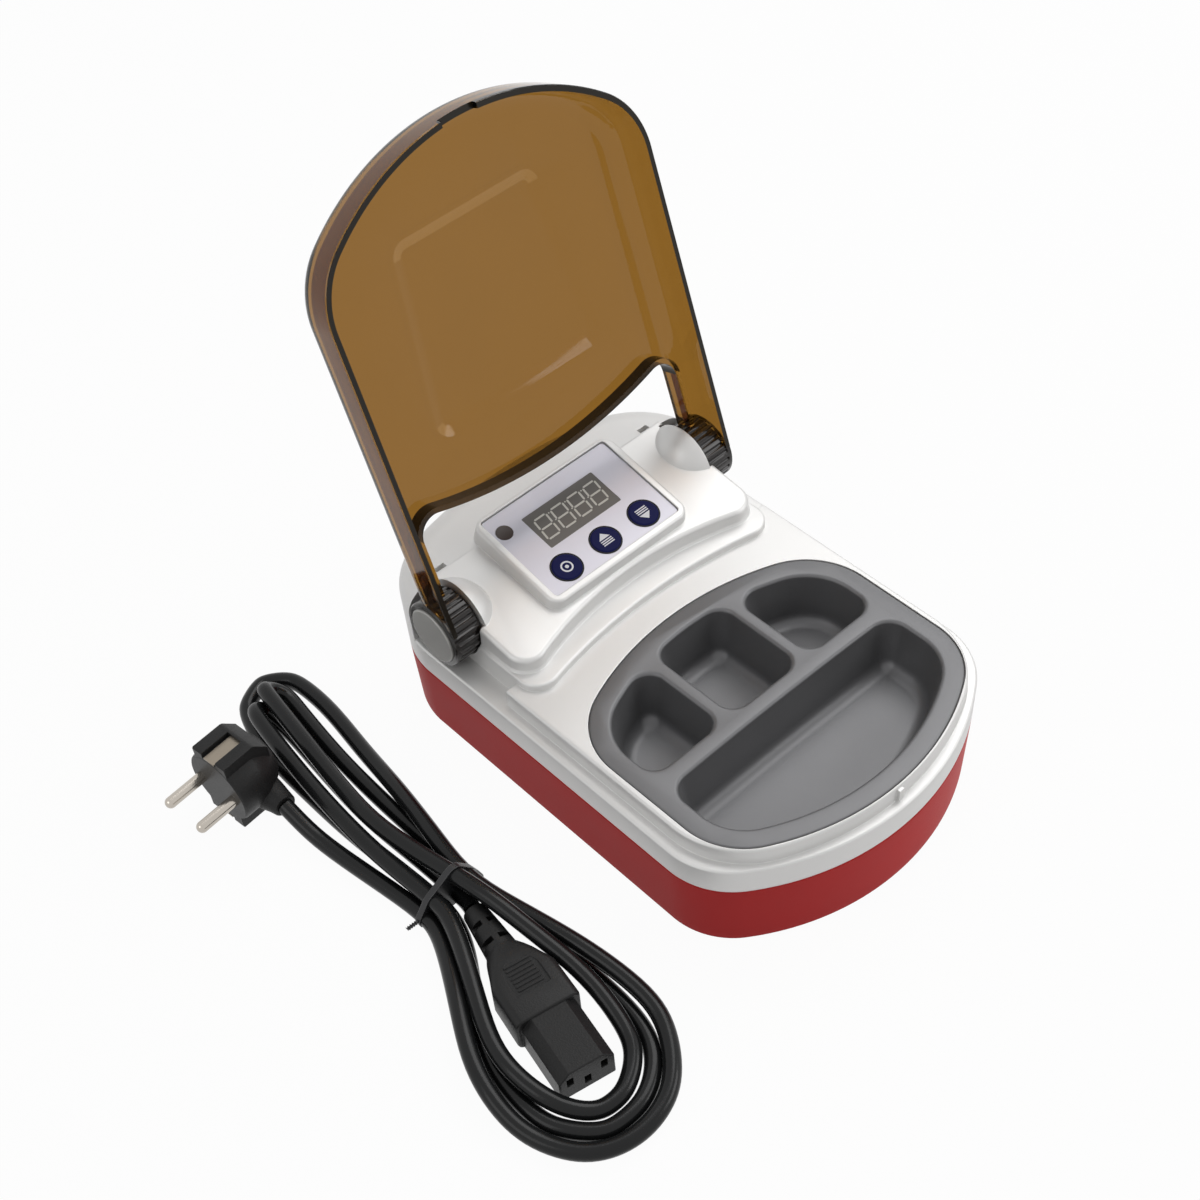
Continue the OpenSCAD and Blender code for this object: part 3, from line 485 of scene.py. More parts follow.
def feed(tree: Tree, socket: Socket, value: Socket | float) -> None:
    """Links a socket to another, or sets it to a number.

    Args:
        tree: node tree of both.
        socket: the input.
        value: what it's fed.
    """
    if isinstance(value, (int, float)):
        socket.default_value = value
    else:
        tree.links.new(value, socket)


def combine(tree: Tree, how: str, a: Socket | float, b: Socket | float) -> Socket:
    """Adds a node that works out one value from two.

    Args:
        tree: node tree that it's added to.
        how: kind of sum, as Blender names it.
        a: first value.
        b: second value.

    Returns:
        Socket of the result.
    """
    node = tree.nodes.new("ShaderNodeMath")
    node.operation = how
    feed(tree, node.inputs[0], a)
    feed(tree, node.inputs[1], b)
    return node.outputs["Value"]


class Effects:
    """The shared effects, each built once."""

    def __init__(self) -> None:
        """Builds the groups."""
        self.grain = self._grain()
        self.wear = self._wear()
        self.dust = self._dust()
        self.brush = self._brush()

    def _noise(
        self, tree: Tree, coord: Socket, scale: Socket | float, detail: float, rough: float = 0.55
    ) -> Socket:
        """Adds a noise texture.

        Args:
            tree: node tree that it's added to.
            coord: its coordinates.
            scale: its scale.
            detail: its detail.
            rough: its roughness.

        Returns:
            Socket of the noise.
        """
        node = tree.nodes.new("ShaderNodeTexNoise")
        node.inputs["Detail"].default_value = detail
        node.inputs["Roughness"].default_value = rough
        tree.links.new(coord, node.inputs["Vector"])
        feed(tree, node.inputs["Scale"], scale)
        return node.outputs["Fac"]

    def _ramp(self, tree: Tree, value: Socket, low: float, high: float) -> Socket:
        """Adds a node that maps low to 0 and high to 1.

        Args:
            tree: node tree that it's added to.
            value: socket that is mapped.
            low: value that gives 0.
            high: value that gives 1.

        Returns:
            Socket of the result.
        """
        node = tree.nodes.new("ShaderNodeMapRange")
        node.inputs["From Min"].default_value = low
        node.inputs["From Max"].default_value = high
        tree.links.new(value, node.inputs["Value"])
        return node.outputs["Result"]

    def _grain(self) -> Tree:
        """Makes fine moulded or painted grain with a slow change over the surface.

        Returns:
            The group.
        """
        tree, gin, gout = new_group("Fine grain", {"Scale": 1800.0, "Blotch": 30.0}, ("Height", "Blotch"))
        coord = tree.nodes.new("ShaderNodeTexCoord").outputs["Object"]
        fine = self._noise(tree, coord, gin.outputs["Scale"], 3.0)
        slow = self._noise(tree, coord, gin.outputs["Blotch"], 2.0)
        tree.links.new(fine, gout.inputs["Height"])
        tree.links.new(slow, gout.inputs["Blotch"])
        return tree

    def _wear(self) -> Tree:
        """Makes a mask that is 1 along worn edges.

        Returns:
            The group.
        """
        tree, gin, gout = new_group("Edge wear", {"Radius": 0.0006, "Break up": 0.35}, ("Mask", "Normal"))
        bevel = tree.nodes.new("ShaderNodeBevel")
        bevel.samples = 6
        tree.links.new(gin.outputs["Radius"], bevel.inputs["Radius"])
        geo = tree.nodes.new("ShaderNodeNewGeometry")
        dot = tree.nodes.new("ShaderNodeVectorMath")
        dot.operation = "DOT_PRODUCT"
        tree.links.new(bevel.outputs["Normal"], dot.inputs[0])
        tree.links.new(geo.outputs["Normal"], dot.inputs[1])
        edge = self._ramp(tree, dot.outputs["Value"], 0.99, 0.86)
        coord = tree.nodes.new("ShaderNodeTexCoord").outputs["Object"]
        mix = tree.nodes.new("ShaderNodeMix")
        mix.inputs["A"].default_value = 1.0
        tree.links.new(gin.outputs["Break up"], mix.inputs["Factor"])
        tree.links.new(self._ramp(tree, self._noise(tree, coord, 260.0, 5.0), 0.3, 0.7), mix.inputs["B"])
        tree.links.new(combine(tree, "MULTIPLY", edge, mix.outputs["Result"]), gout.inputs["Mask"])
        tree.links.new(bevel.outputs["Normal"], gout.inputs["Normal"])
        return tree

    def _dust(self) -> Tree:
        """Makes a mask of specks and faint dust that lies on faces that look up.

        Returns:
            The group.
        """
        tree, gin, gout = new_group("Settled dust", {"Amount": 0.3}, ("Mask",))
        geo = tree.nodes.new("ShaderNodeNewGeometry")
        split = tree.nodes.new("ShaderNodeSeparateXYZ")
        tree.links.new(geo.outputs["Normal"], split.inputs["Vector"])
        up = self._ramp(tree, split.outputs["Z"], 0.4, 0.95)
        coord = tree.nodes.new("ShaderNodeTexCoord").outputs["Object"]
        specks = self._ramp(tree, self._noise(tree, coord, 900.0, 6.0, 0.7), 0.6, 0.78)
        lying = combine(tree, "MULTIPLY", up, specks)
        tree.links.new(combine(tree, "MULTIPLY", lying, gin.outputs["Amount"]), gout.inputs["Mask"])
        return tree

    def _brush(self) -> Tree:
        """Makes fine lines along x, as on rolled or brushed metal.

        Returns:
            The group.
        """
        tree, gin, gout = new_group("Brushed lines", {"Scale": 900.0}, ("Height",))
        coord = tree.nodes.new("ShaderNodeTexCoord").outputs["Object"]
        mapping = tree.nodes.new("ShaderNodeMapping")
        mapping.inputs["Scale"].default_value = (0.02, 1.0, 1.0)
        tree.links.new(coord, mapping.inputs["Vector"])
        lines = self._noise(tree, mapping.outputs["Vector"], gin.outputs["Scale"], 4.0)
        tree.links.new(lines, gout.inputs["Height"])
        return tree


EFFECTS = Effects()


@dataclass(frozen=True)
class Paint:
    """A finish: one Principled material with grain, wear and dust of its own."""

    name: str
    color: Point3
    roughness: float = 0.4
    metallic: float = 0.0
    blotch: float = 0.06
    grain_scale: float = 1800.0
    grain_height: float = 0.02
    coat: float = 0.0
    coat_rough: float = 0.1
    wear: float = 0.0
    wear_color: Point3 = (0.8, 0.8, 0.8)
    wear_radius: float = 0.0006
    dust: float = 0.0
    dust_color: Point3 = (0.6, 0.58, 0.55)
    specular: float = 0.5
    transmission: float = 0.0
    ior: float = 1.45
    brushed: bool = False

    BUMP_GAIN: ClassVar[float] = 8.0
    BUMP_DEPTH: ClassVar[float] = 0.0002
    ROUGH_SPREAD: ClassVar[float] = 0.05

    def material(self) -> bpy.types.Material:
        """Gives the material of this finish.

        Returns:
            The material, made on first use.
        """
        found = bpy.data.materials.get(self.name)
        if found is not None:
            return found
        mat = bpy.data.materials.new(self.name)
        mat.use_nodes = True
        tree = mat.node_tree
        links = tree.links
        bsdf = tree.nodes["Principled BSDF"]
        bsdf.inputs["Metallic"].default_value = self.metallic
        bsdf.inputs["Specular IOR Level"].default_value = self.specular
        bsdf.inputs["Coat Weight"].default_value = self.coat
        bsdf.inputs["Coat Roughness"].default_value = self.coat_rough
        bsdf.inputs["IOR"].default_value = self.ior
        bsdf.inputs["Transmission Weight"].default_value = self.transmission
        grain = self._group(tree, EFFECTS.brush if self.brushed else EFFECTS.grain, "Scale", self.grain_scale)
        slow = self._group(tree, EFFECTS.grain, "Scale", self.grain_scale)
        shade = tree.nodes.new("ShaderNodeMix")
        shade.data_type = "RGBA"
        shade.inputs["A"].default_value = tuple(c * (1 - self.blotch) for c in self.color) + (1.0,)
        shade.inputs["B"].default_value = tuple(min(1.0, c * (1 + self.blotch)) for c in self.color) + (1.0,)
        links.new(slow.outputs["Blotch"], shade.inputs["Factor"])
        color = shade.outputs["Result"]
        bump = tree.nodes.new("ShaderNodeBump")
        bump.inputs["Strength"].default_value = min(1.0, self.grain_height * self.BUMP_GAIN)
        bump.inputs["Distance"].default_value = self.BUMP_DEPTH
        links.new(grain.outputs["Height"], bump.inputs["Height"])
        if self.wear > 0:
            wear = self._group(tree, EFFECTS.wear, "Radius", self.wear_radius)
            links.new(wear.outputs["Normal"], bump.inputs["Normal"])
            amount = combine(tree, "MULTIPLY", wear.outputs["Mask"], self.wear)
            color = self._over(tree, color, self.wear_color, amount)
        if self.dust > 0:
            dust = self._group(tree, EFFECTS.dust, "Amount", self.dust)
            color = self._over(tree, color, self.dust_color, dust.outputs["Mask"])
        links.new(color, bsdf.inputs["Base Color"])
        if self.grain_height > 0:
            links.new(bump.outputs["Normal"], bsdf.inputs["Normal"])
        rough = tree.nodes.new("ShaderNodeMapRange")
        rough.inputs["To Min"].default_value = max(0.02, self.roughness - self.ROUGH_SPREAD)
        rough.inputs["To Max"].default_value = min(1.0, self.roughness + self.ROUGH_SPREAD)
        links.new(slow.outputs["Blotch"], rough.inputs["Value"])
        links.new(rough.outputs["Result"], bsdf.inputs["Roughness"])
        return mat

    @staticmethod
    def _group(tree: Tree, effect: Tree, label: str, value: float) -> Node:
        """Adds one effect to a material.

        Args:
            tree: node tree of the material.
            effect: the effect's group.
            label: name of the input that is set.
            value: what it's set to.

        Returns:
            The group's node.
        """
        node = tree.nodes.new("ShaderNodeGroup")
        node.node_tree = effect
        node.inputs[label].default_value = value
        return node

    @staticmethod
    def _over(tree: Tree, below: Socket, color: Point3, mask: Socket) -> Socket:
        """Lays a colour over another by a mask.

        Args:
            tree: node tree of the material.
            below: the colour that is there already.
            color: the colour laid over it.
            mask: 1 where the new colour covers.

        Returns:
            Socket of the result.
        """
        mix = tree.nodes.new("ShaderNodeMix")
        mix.data_type = "RGBA"
        mix.inputs["B"].default_value = color + (1.0,)
        tree.links.new(below, mix.inputs["A"])
        tree.links.new(mask, mix.inputs["Factor"])
        return mix.outputs["Result"]


RED_SHELL = Paint(
    "Red moulded shell", (0.55, 0.038, 0.038), 0.45, blotch=0.05, grain_scale=2600, grain_height=0.03,
    wear=0.25, wear_color=(0.6, 0.16, 0.15), wear_radius=0.0005, dust=0.04, specular=0.05)
SILVER = Paint(
    "Silver painted cover", (0.76, 0.755, 0.745), 0.44, metallic=0.4, blotch=0.02, grain_scale=3600,
    grain_height=0.015, wear=0.5, wear_color=(0.97, 0.97, 0.96), wear_radius=0.0005, dust=0.02,
    specular=0.3)
POT_COAT = Paint(
    "Dark cast pot coating", (0.17, 0.17, 0.175), 0.4, metallic=0.4, blotch=0.06, grain_scale=2400,
    grain_height=0.03, wear=0.9, wear_color=(0.75, 0.75, 0.75), wear_radius=0.0007, dust=0.03,
    specular=0.3)
AMBER = Paint(
    "Amber lid plastic", (0.255, 0.122, 0.02), 0.03, blotch=0.03, grain_scale=400, grain_height=0.0,
    transmission=1.0, ior=1.33, specular=0.5)
# Painted highlight: a paler, less clear amber laid on the raised square's inner slopes where a softbox
# reflection falls.
AMBER_PAINTED_HIGHLIGHT = Paint(
    "Amber lid painted highlight", (0.4, 0.22, 0.075), 0.1, blotch=0.03, grain_scale=400, grain_height=0.0,
    transmission=0.85, ior=1.33, specular=0.5)
# Painted shade: near-black, opaque amber on the lid's rim and cut-out faces, standing in for light that the
# thick clear plastic swallows there.
AMBER_PAINTED_SHADE_EDGE = Paint(
    "Amber lid painted shade edge", (0.018, 0.014, 0.009), 0.15, blotch=0.05, grain_scale=400, grain_height=0.0,
    specular=0.3)
DRUM = Paint(
    "Ribbed drum plastic", (0.012, 0.009, 0.008), 0.16, blotch=0.2, grain_scale=1200,
    grain_height=0.01, coat=0.3, coat_rough=0.05, wear=0.2, wear_color=(0.16, 0.12, 0.1),
    specular=0.35)
CAP_GREY = Paint(
    "Satin grey cap", (0.34, 0.335, 0.32), 0.42, metallic=0.5, blotch=0.05, grain_scale=2200,
    grain_height=0.03, wear=0.5, wear_color=(0.7, 0.7, 0.68), dust=0.05)
LABEL = Paint(
    "Printed silver label", (0.55, 0.54, 0.6), 0.36, metallic=0.3, blotch=0.03, grain_scale=1200,
    grain_height=0.02, brushed=True, dust=0.05)
KEY_BLUE = Paint(
    "Dark blue key", (0.01, 0.012, 0.075), 0.36, blotch=0.05, grain_scale=2600, grain_height=0.02,
    wear=0.3, wear_color=(0.06, 0.07, 0.22), wear_radius=0.0003, specular=0.06)
KEY_BLACK = Paint("Black key surround", (0.006, 0.006, 0.009), 0.4, blotch=0.1, specular=0.2)
PRINT_WHITE = Paint("White key print", (0.82, 0.82, 0.86), 0.5, blotch=0.02)
GLASS_GREY = Paint(
    "Grey display window", (0.16, 0.15, 0.14), 0.25, blotch=0.05, grain_scale=300, grain_height=0.0,
    specular=0.25)
DIGIT = Paint("Pale digit segment", (0.6, 0.58, 0.53), 0.45, blotch=0.08, grain_scale=900)
LENS = Paint("Smoked lamp lens", (0.075, 0.058, 0.052), 0.2, blotch=0.06, specular=0.3)
CORD_BLACK = Paint(
    "Black cord sheath", (0.011, 0.0115, 0.012), 0.24, blotch=0.15, grain_scale=900, grain_height=0.02,
    coat=0.1, coat_rough=0.1, dust=0.1, dust_color=(0.1, 0.1, 0.1), specular=0.22)
PLUG_BLACK = Paint(
    "Black moulded plug", (0.018, 0.018, 0.0182), 0.42, blotch=0.15, grain_scale=1500,
    grain_height=0.08, wear=0.3, wear_color=(0.08, 0.08, 0.08), wear_radius=0.0005, dust=0.1,
    dust_color=(0.1, 0.1, 0.1), specular=0.25)
TIE_BLACK = Paint(
    "Black tie strip", (0.02, 0.02, 0.022), 0.35, blotch=0.1, wear=0.4, wear_color=(0.3, 0.3, 0.3))
NICKEL = Paint(
    "Nickel-plated pin", (0.5, 0.46, 0.41), 0.16, metallic=1.0, blotch=0.06, grain_scale=1800,
    grain_height=0.005)
CLIP = Paint(
    "Tarnished earth clip", (0.3, 0.26, 0.21), 0.4, metallic=0.9, blotch=0.2, grain_scale=1800,
    grain_height=0.02)
BRASS = Paint("Plain brass", (0.6, 0.48, 0.26), 0.28, metallic=1.0, blotch=0.06)
STEEL = Paint("Zinc-plated steel", (0.55, 0.55, 0.57), 0.3, metallic=1.0, blotch=0.06)
RUBBER = Paint("Black rubber foot", (0.02, 0.02, 0.02), 0.75, blotch=0.1, grain_height=0.08)
BLACK_PLASTIC = Paint(
    "Black fitting plastic", (0.015, 0.015, 0.016), 0.42, blotch=0.1, grain_height=0.06, wear=0.3,
    wear_color=(0.12, 0.12, 0.12))
ALUMINIUM = Paint(
    "Milled aluminium", (0.55, 0.55, 0.56), 0.35, metallic=1.0, blotch=0.05, brushed=True,
    grain_scale=700)
GASKET = Paint("Red silicone", (0.45, 0.1, 0.07), 0.55, blotch=0.06)
MICA = Paint("Mica-wrapped element", (0.09, 0.08, 0.07), 0.6, blotch=0.2)
FIBRE = Paint(
    "Ceramic fibre pad", (0.68, 0.66, 0.6), 0.9, blotch=0.08, grain_scale=700, grain_height=0.12)
BOARD = Paint("Green circuit board", (0.02, 0.11, 0.045), 0.4, blotch=0.1, coat=0.3)
WINDING = Paint("Transformer winding", (0.4, 0.24, 0.06), 0.4, blotch=0.15, brushed=True)
RELAY = Paint("Blue relay case", (0.02, 0.07, 0.3), 0.35, blotch=0.06)

CAD_NAMES: tuple[tuple[Paint, str], ...] = (
    (RUBBER, "foot_pads"), (GASKET, "pot_gasket"), (ALUMINIUM, "heater_plate"), (MICA, "heating_element"),
    (FIBRE, "insulation_pad"), (BRASS, "thermal_fuse connector_contacts"), (LABEL, "panel_label"),
    (STEEL, "temperature_sensor pot_screws case_screws board_screws hinge_pin_left hinge_pin_right"),
    (KEY_BLACK, "key_rings"), (GLASS_GREY, "display_window"), (LENS, "indicator_lens"),
    (BLACK_PLASTIC, "display_module key_switches power_inlet switch_frame switch_rocker"),
    (BOARD, "control_board power_board"), (WINDING, "transformer"), (RELAY, "relay"),
    (NICKEL, "inlet_blades plug_pins"), (CAP_GREY, "hinge_cap_left hinge_cap_right"),
    (KEY_BLUE, "key_set key_up key_down"), (CLIP, "plug_earth_clips"),
)
CAD_FINISH: dict[str, Paint] = {name: paint for paint, names in CAD_NAMES for name in names.split()}


# Sub-assemblies


@dataclass
class Studio:
    """Camera, floor, world and lamps."""

    focal: float = 1800.991
    centre: Point2 = (579.886, 776.993)
    turn: Point3 = (2.313, -0.929, 0.224)
    spot: Point3 = (-319.79, -345.38, 570.2)
    image: float = 1200.0
    sensor: float = 36.0
    world_light: float = 0.29
    floor_white: float = 0.96
    floor_half: float = 6.0

    def camera(self) -> None:
        """Puts the camera where the photograph was taken from."""
        axis = Vector(self.turn)
        rot = Matrix.Rotation(axis.length, 3, axis.normalized())
        cam = bpy.data.cameras.new("Camera")
        cam.sensor_width = self.sensor
        cam.lens = self.focal / self.image * self.sensor
        cam.shift_x = (self.image / 2 - self.centre[0]) / self.image
        cam.shift_y = (self.centre[1] - self.image / 2) / self.image
        obj = bpy.data.objects.new("Camera", cam)
        basis = Matrix((rot[0], -rot[1], -rot[2])).transposed()
        obj.matrix_world = Matrix.Translation(Vector(self.spot) * MM) @ basis.to_4x4()
        bpy.context.scene.collection.objects.link(obj)
        bpy.context.scene.camera = obj

    def _seen(self, tree: Tree) -> Socket:
        """Makes the mask of rays that show the background.

        Args:
            tree: node tree that the mask is made in.

        Returns:
            Socket that is 1 for camera, glossy and transmission rays.
        """
        path = tree.nodes.new("ShaderNodeLightPath")
        mask = path.outputs["Is Camera Ray"]
        for kind in ("Is Glossy Ray", "Is Transmission Ray"):
            mask = combine(tree, "MAXIMUM", mask, path.outputs[kind])
        return mask

    def world(self) -> None:
        """White world that lights gently."""
        world = bpy.data.worlds.new("Studio")
        world.use_nodes = True
        tree = world.node_tree
        back = tree.nodes["Background"]
        back.inputs["Color"].default_value = (1, 1, 1, 1)
        mask = self._seen(tree)
        level = tree.nodes.new("ShaderNodeMapRange")
        level.inputs["To Min"].default_value = self.world_light
        level.inputs["To Max"].default_value = 1.0
        tree.links.new(mask, level.inputs["Value"])
        tree.links.new(level.outputs["Result"], back.inputs["Strength"])
        bpy.context.scene.world = world

    def floor(self) -> None:
        """Pale floor that keeps a soft shadow and fades into white."""
        mesh = bpy.data.meshes.new("Floor")
        s = self.floor_half
        mesh.from_pydata([(-s, -s, 0), (s, -s, 0), (s, s, 0), (-s, s, 0)], [], [(0, 1, 2, 3)])
        obj = bpy.data.objects.new("Floor", mesh)
        obj.location = (0, 0, -0.0002)
        bpy.context.scene.collection.objects.link(obj)
        mat = bpy.data.materials.new("Studio floor")
        mat.use_nodes = True
        tree = mat.node_tree
        bsdf = tree.nodes["Principled BSDF"]
        bsdf.inputs["Base Color"].default_value = (0.78, 0.78, 0.78, 1)
        bsdf.inputs["Roughness"].default_value = 0.9
        bsdf.inputs["Specular IOR Level"].default_value = 0.0
        glow = tree.nodes.new("ShaderNodeEmission")
        glow.inputs["Color"].default_value = (1, 1, 1, 1)
        mix = tree.nodes.new("ShaderNodeMixShader")
        mask = combine(tree, "MULTIPLY", self._seen(tree), self.floor_white)
        tree.links.new(mask, mix.inputs["Fac"])
        tree.links.new(bsdf.outputs["BSDF"], mix.inputs[1])
        tree.links.new(glow.outputs["Emission"], mix.inputs[2])
        tree.links.new(mix.outputs["Shader"], tree.nodes["Material Output"].inputs["Surface"])
        mesh.materials.append(mat)

    def lamp(self, name: str, spot: Point3, aim: Point3, size: float, watts: float) -> None:
        """Adds one soft square lamp.

        Args:
            name: lamp name.
            spot: where it hangs, in metres.
            aim: what it looks at, in metres.
            size: width of its square, in metres.
            watts: power.
        """
        data = bpy.data.lights.new(name, "AREA")
        data.shape = "SQUARE"
        data.size = size
        data.energy = watts
        obj = bpy.data.objects.new(name, data)
        obj.location = spot
        obj.rotation_mode = "QUATERNION"
        obj.rotation_quaternion = (Vector(aim) - Vector(spot)).to_track_quat("-Z", "Y")
        bpy.context.scene.collection.objects.link(obj)

    def build(self) -> None:
        """Sets the whole studio."""
        scene = bpy.context.scene
        scene.view_settings.view_transform = "Standard"
        self.camera()
        self.world()
        self.floor()
        self.lamp("Top softbox", (0.7, 0.2, 1.15), (0, 0, 0.05), 0.9, 7.2)
        self.lamp("Front softbox", (0.85, -0.85, 0.6), (0, 0, 0.03), 0.6, 3.4)
        self.lamp("Left fill", (-1.2, 0.1, 0.9), (-0.1, 0, 0.05), 0.7, 2.4)
        LOG.info("studio set")


@dataclass
class Levels:
    """Heights and outlines that the body's pieces share, as in the CAD source."""

    shell_bottom: float = 3.3
    seam: float = 35.4
    ledge: float = 47.8
    deck: float = 55.0
    shelf: float = 58.2
    plateau: float = 64.8
    tilt: float = 8.0
    cut_y: float = 77.4
    hinge_y: float = 62.2
    hinge_z: float = 62.5
    panel_y: float = 58.6
    panel_z: float = 74.8
    panel_tilt: float = 11.5
    body: BowedBox = field(default_factory=lambda: BowedBox(75, -113.1, 105, 32.6, 112, 180, 38))
    deck_line: BowedBox = field(default_factory=lambda: BowedBox(69.9, -108.7, 110, 37, 60, 180, 20))
    pot_line: BowedBox = field(default_factory=lambda: BowedBox(67, -107.6, 104, 29.3, 8.8, 123.5, 31.5))
    lid_line: BowedBox = field(default_factory=lambda: BowedBox(74, -113.1, 102, 32, 112, 180, 38))

    def plateau_at(self, y: float, below: float = 0.0) -> float:
        """Gives the height of the sloping plateau."""
        return self.plateau + (y - 24.9) * math.tan(math.radians(self.tilt)) - below

    def rear_at(self, y: float, below: float = 0.0) -> float:
        """Gives the height of the nearly level rear top."""
        return self.plateau_at(self.cut_y) - (y - self.cut_y) * 0.03 - below

    def panel(self) -> Matrix:
        """Gives the frame of the label."""
        return stand(0, self.panel_y, self.panel_z, self.panel_tilt, "X")


LEVELS = Levels()


def rounded(r: float, steps: int = 6) -> list[Point2]:
    """Gives the section of a rounded edge.

    Args:
        r: radius.
        steps: number of steps.

    Returns:
        Insets and drops, from its side to its top.
    """
    out = []
    for i in range(steps + 1):
        a = math.pi / 2 * i / steps
        out.append((r * (1 - math.cos(a)), r * (1 - math.sin(a))))
    return out


@dataclass
class Shell:
    """The red lower shell with its rear pocket."""

    maker: Maker
    draft: float = 0.9
    wall: float = 2.4
    edge_r: float = 1.5
    rear_y: float = 107.0
    pocket_half_w: float = 37.5
    pocket_rim: float = 1.6
    fitting_y: Point2 = (100.0, 109.0)
    inlet: tuple[Point2, Point2] = ((-32.5, 10.1), (-5.5, 29.9))
    switch: tuple[Point2, Point2] = ((9.5, 13.5), (28.5, 26.5))
    screws: tuple[Point2, ...] = ((54, 26), (-54, 26), (46, 90), (-46, 90))
    screw_r: float = 3.4
    screw_well: float = 11.0
    feet: tuple[Point2, ...] = ((56, -68), (-56, -68), (50, 80), (-50, 80))
    foot_r: float = 8.0
    foot_seat: float = 4.1
    slots_each_side: int = 4
    slot_pitch: float = 7.0
    slot_half_w: float = 1.2
    slot_y: Point2 = (-66.0, -36.0)
    side_steps: int = 7

    def skin(self) -> Piece:
        """Makes the outer form.

        Returns:
            The solid shell, its sides leaning out by the draft.
        """
        line, low, high = LEVELS.body.line, LEVELS.shell_bottom, LEVELS.seam
        rings = [at_z(line(self.draft + inset), low + drop) for inset, drop in reversed(rounded(self.edge_r))]
        for k in range(1, self.side_steps):
            t = k / self.side_steps
            rings.append(at_z(line(self.draft * (1 - t)), low + self.edge_r + (high - low - 2.2) * t))
        rings += [at_z(line(0.02), high - 0.35), at_z(line(0.35), high)]
        return self.maker.loft("shell_red", rings)

    def disc(self, at: Point2, r: float, top: float, n: int) -> Piece:
        """Makes an upright cylinder that cuts the floor."""
        line = arc(at[0], at[1], r, 0, 360, n)
        return self.maker.loft("disc", [at_z(line, 2), at_z(line, top)])

    def build(self) -> Piece:
        """Builds the shell and gives it the red finish.

        Returns:
            The finished piece.
        """
        lv, mk = LEVELS, self.maker
        low, high = lv.shell_bottom, lv.seam
        shell = self.skin()
        inside = lv.body.line(self.draft + self.wall)
        inner = mk.loft("inner", [at_z(inside, low + self.wall), at_z(inside, high + 2)])
        mk.cut(inner, mk.box("pad", (-38, 104.4, 2), (38, 112, high + 3)), Cut.AWAY)
        mk.cut(shell, inner, Cut.AWAY)
        w = self.pocket_half_w
        pocket = mk.box("pocket", (-w, self.rear_y, low + self.wall), (w, 120, high - self.pocket_rim))
        mk.cut(shell, pocket, Cut.AWAY)
        y0, y1 = self.fitting_y
        for (x0, z0), (x1, z1) in (self.inlet, self.switch):
            mk.cut(shell, mk.box("fitting", (x0, y0, z0), (x1, y1, z1)), Cut.AWAY)
        for at in self.screws:
            mk.cut(shell, self.disc(at, self.screw_r, self.screw_well, 40), Cut.AWAY)
        for i in range(-self.slots_each_side, self.slots_each_side + 1):
            x, half = i * self.slot_pitch, self.slot_half_w
            slot = mk.box("slot", (x - half, self.slot_y[0], 2), (x + half, self.slot_y[1], 7))
            mk.cut(shell, slot, Cut.AWAY)
        for at in self.feet:
            mk.cut(shell, self.disc(at, self.foot_r, self.foot_seat, 64), Cut.AWAY)
        mk.smooth(shell)
        return place(shell, RED_SHELL, Body.BASE, "red_shell", "base_shell")


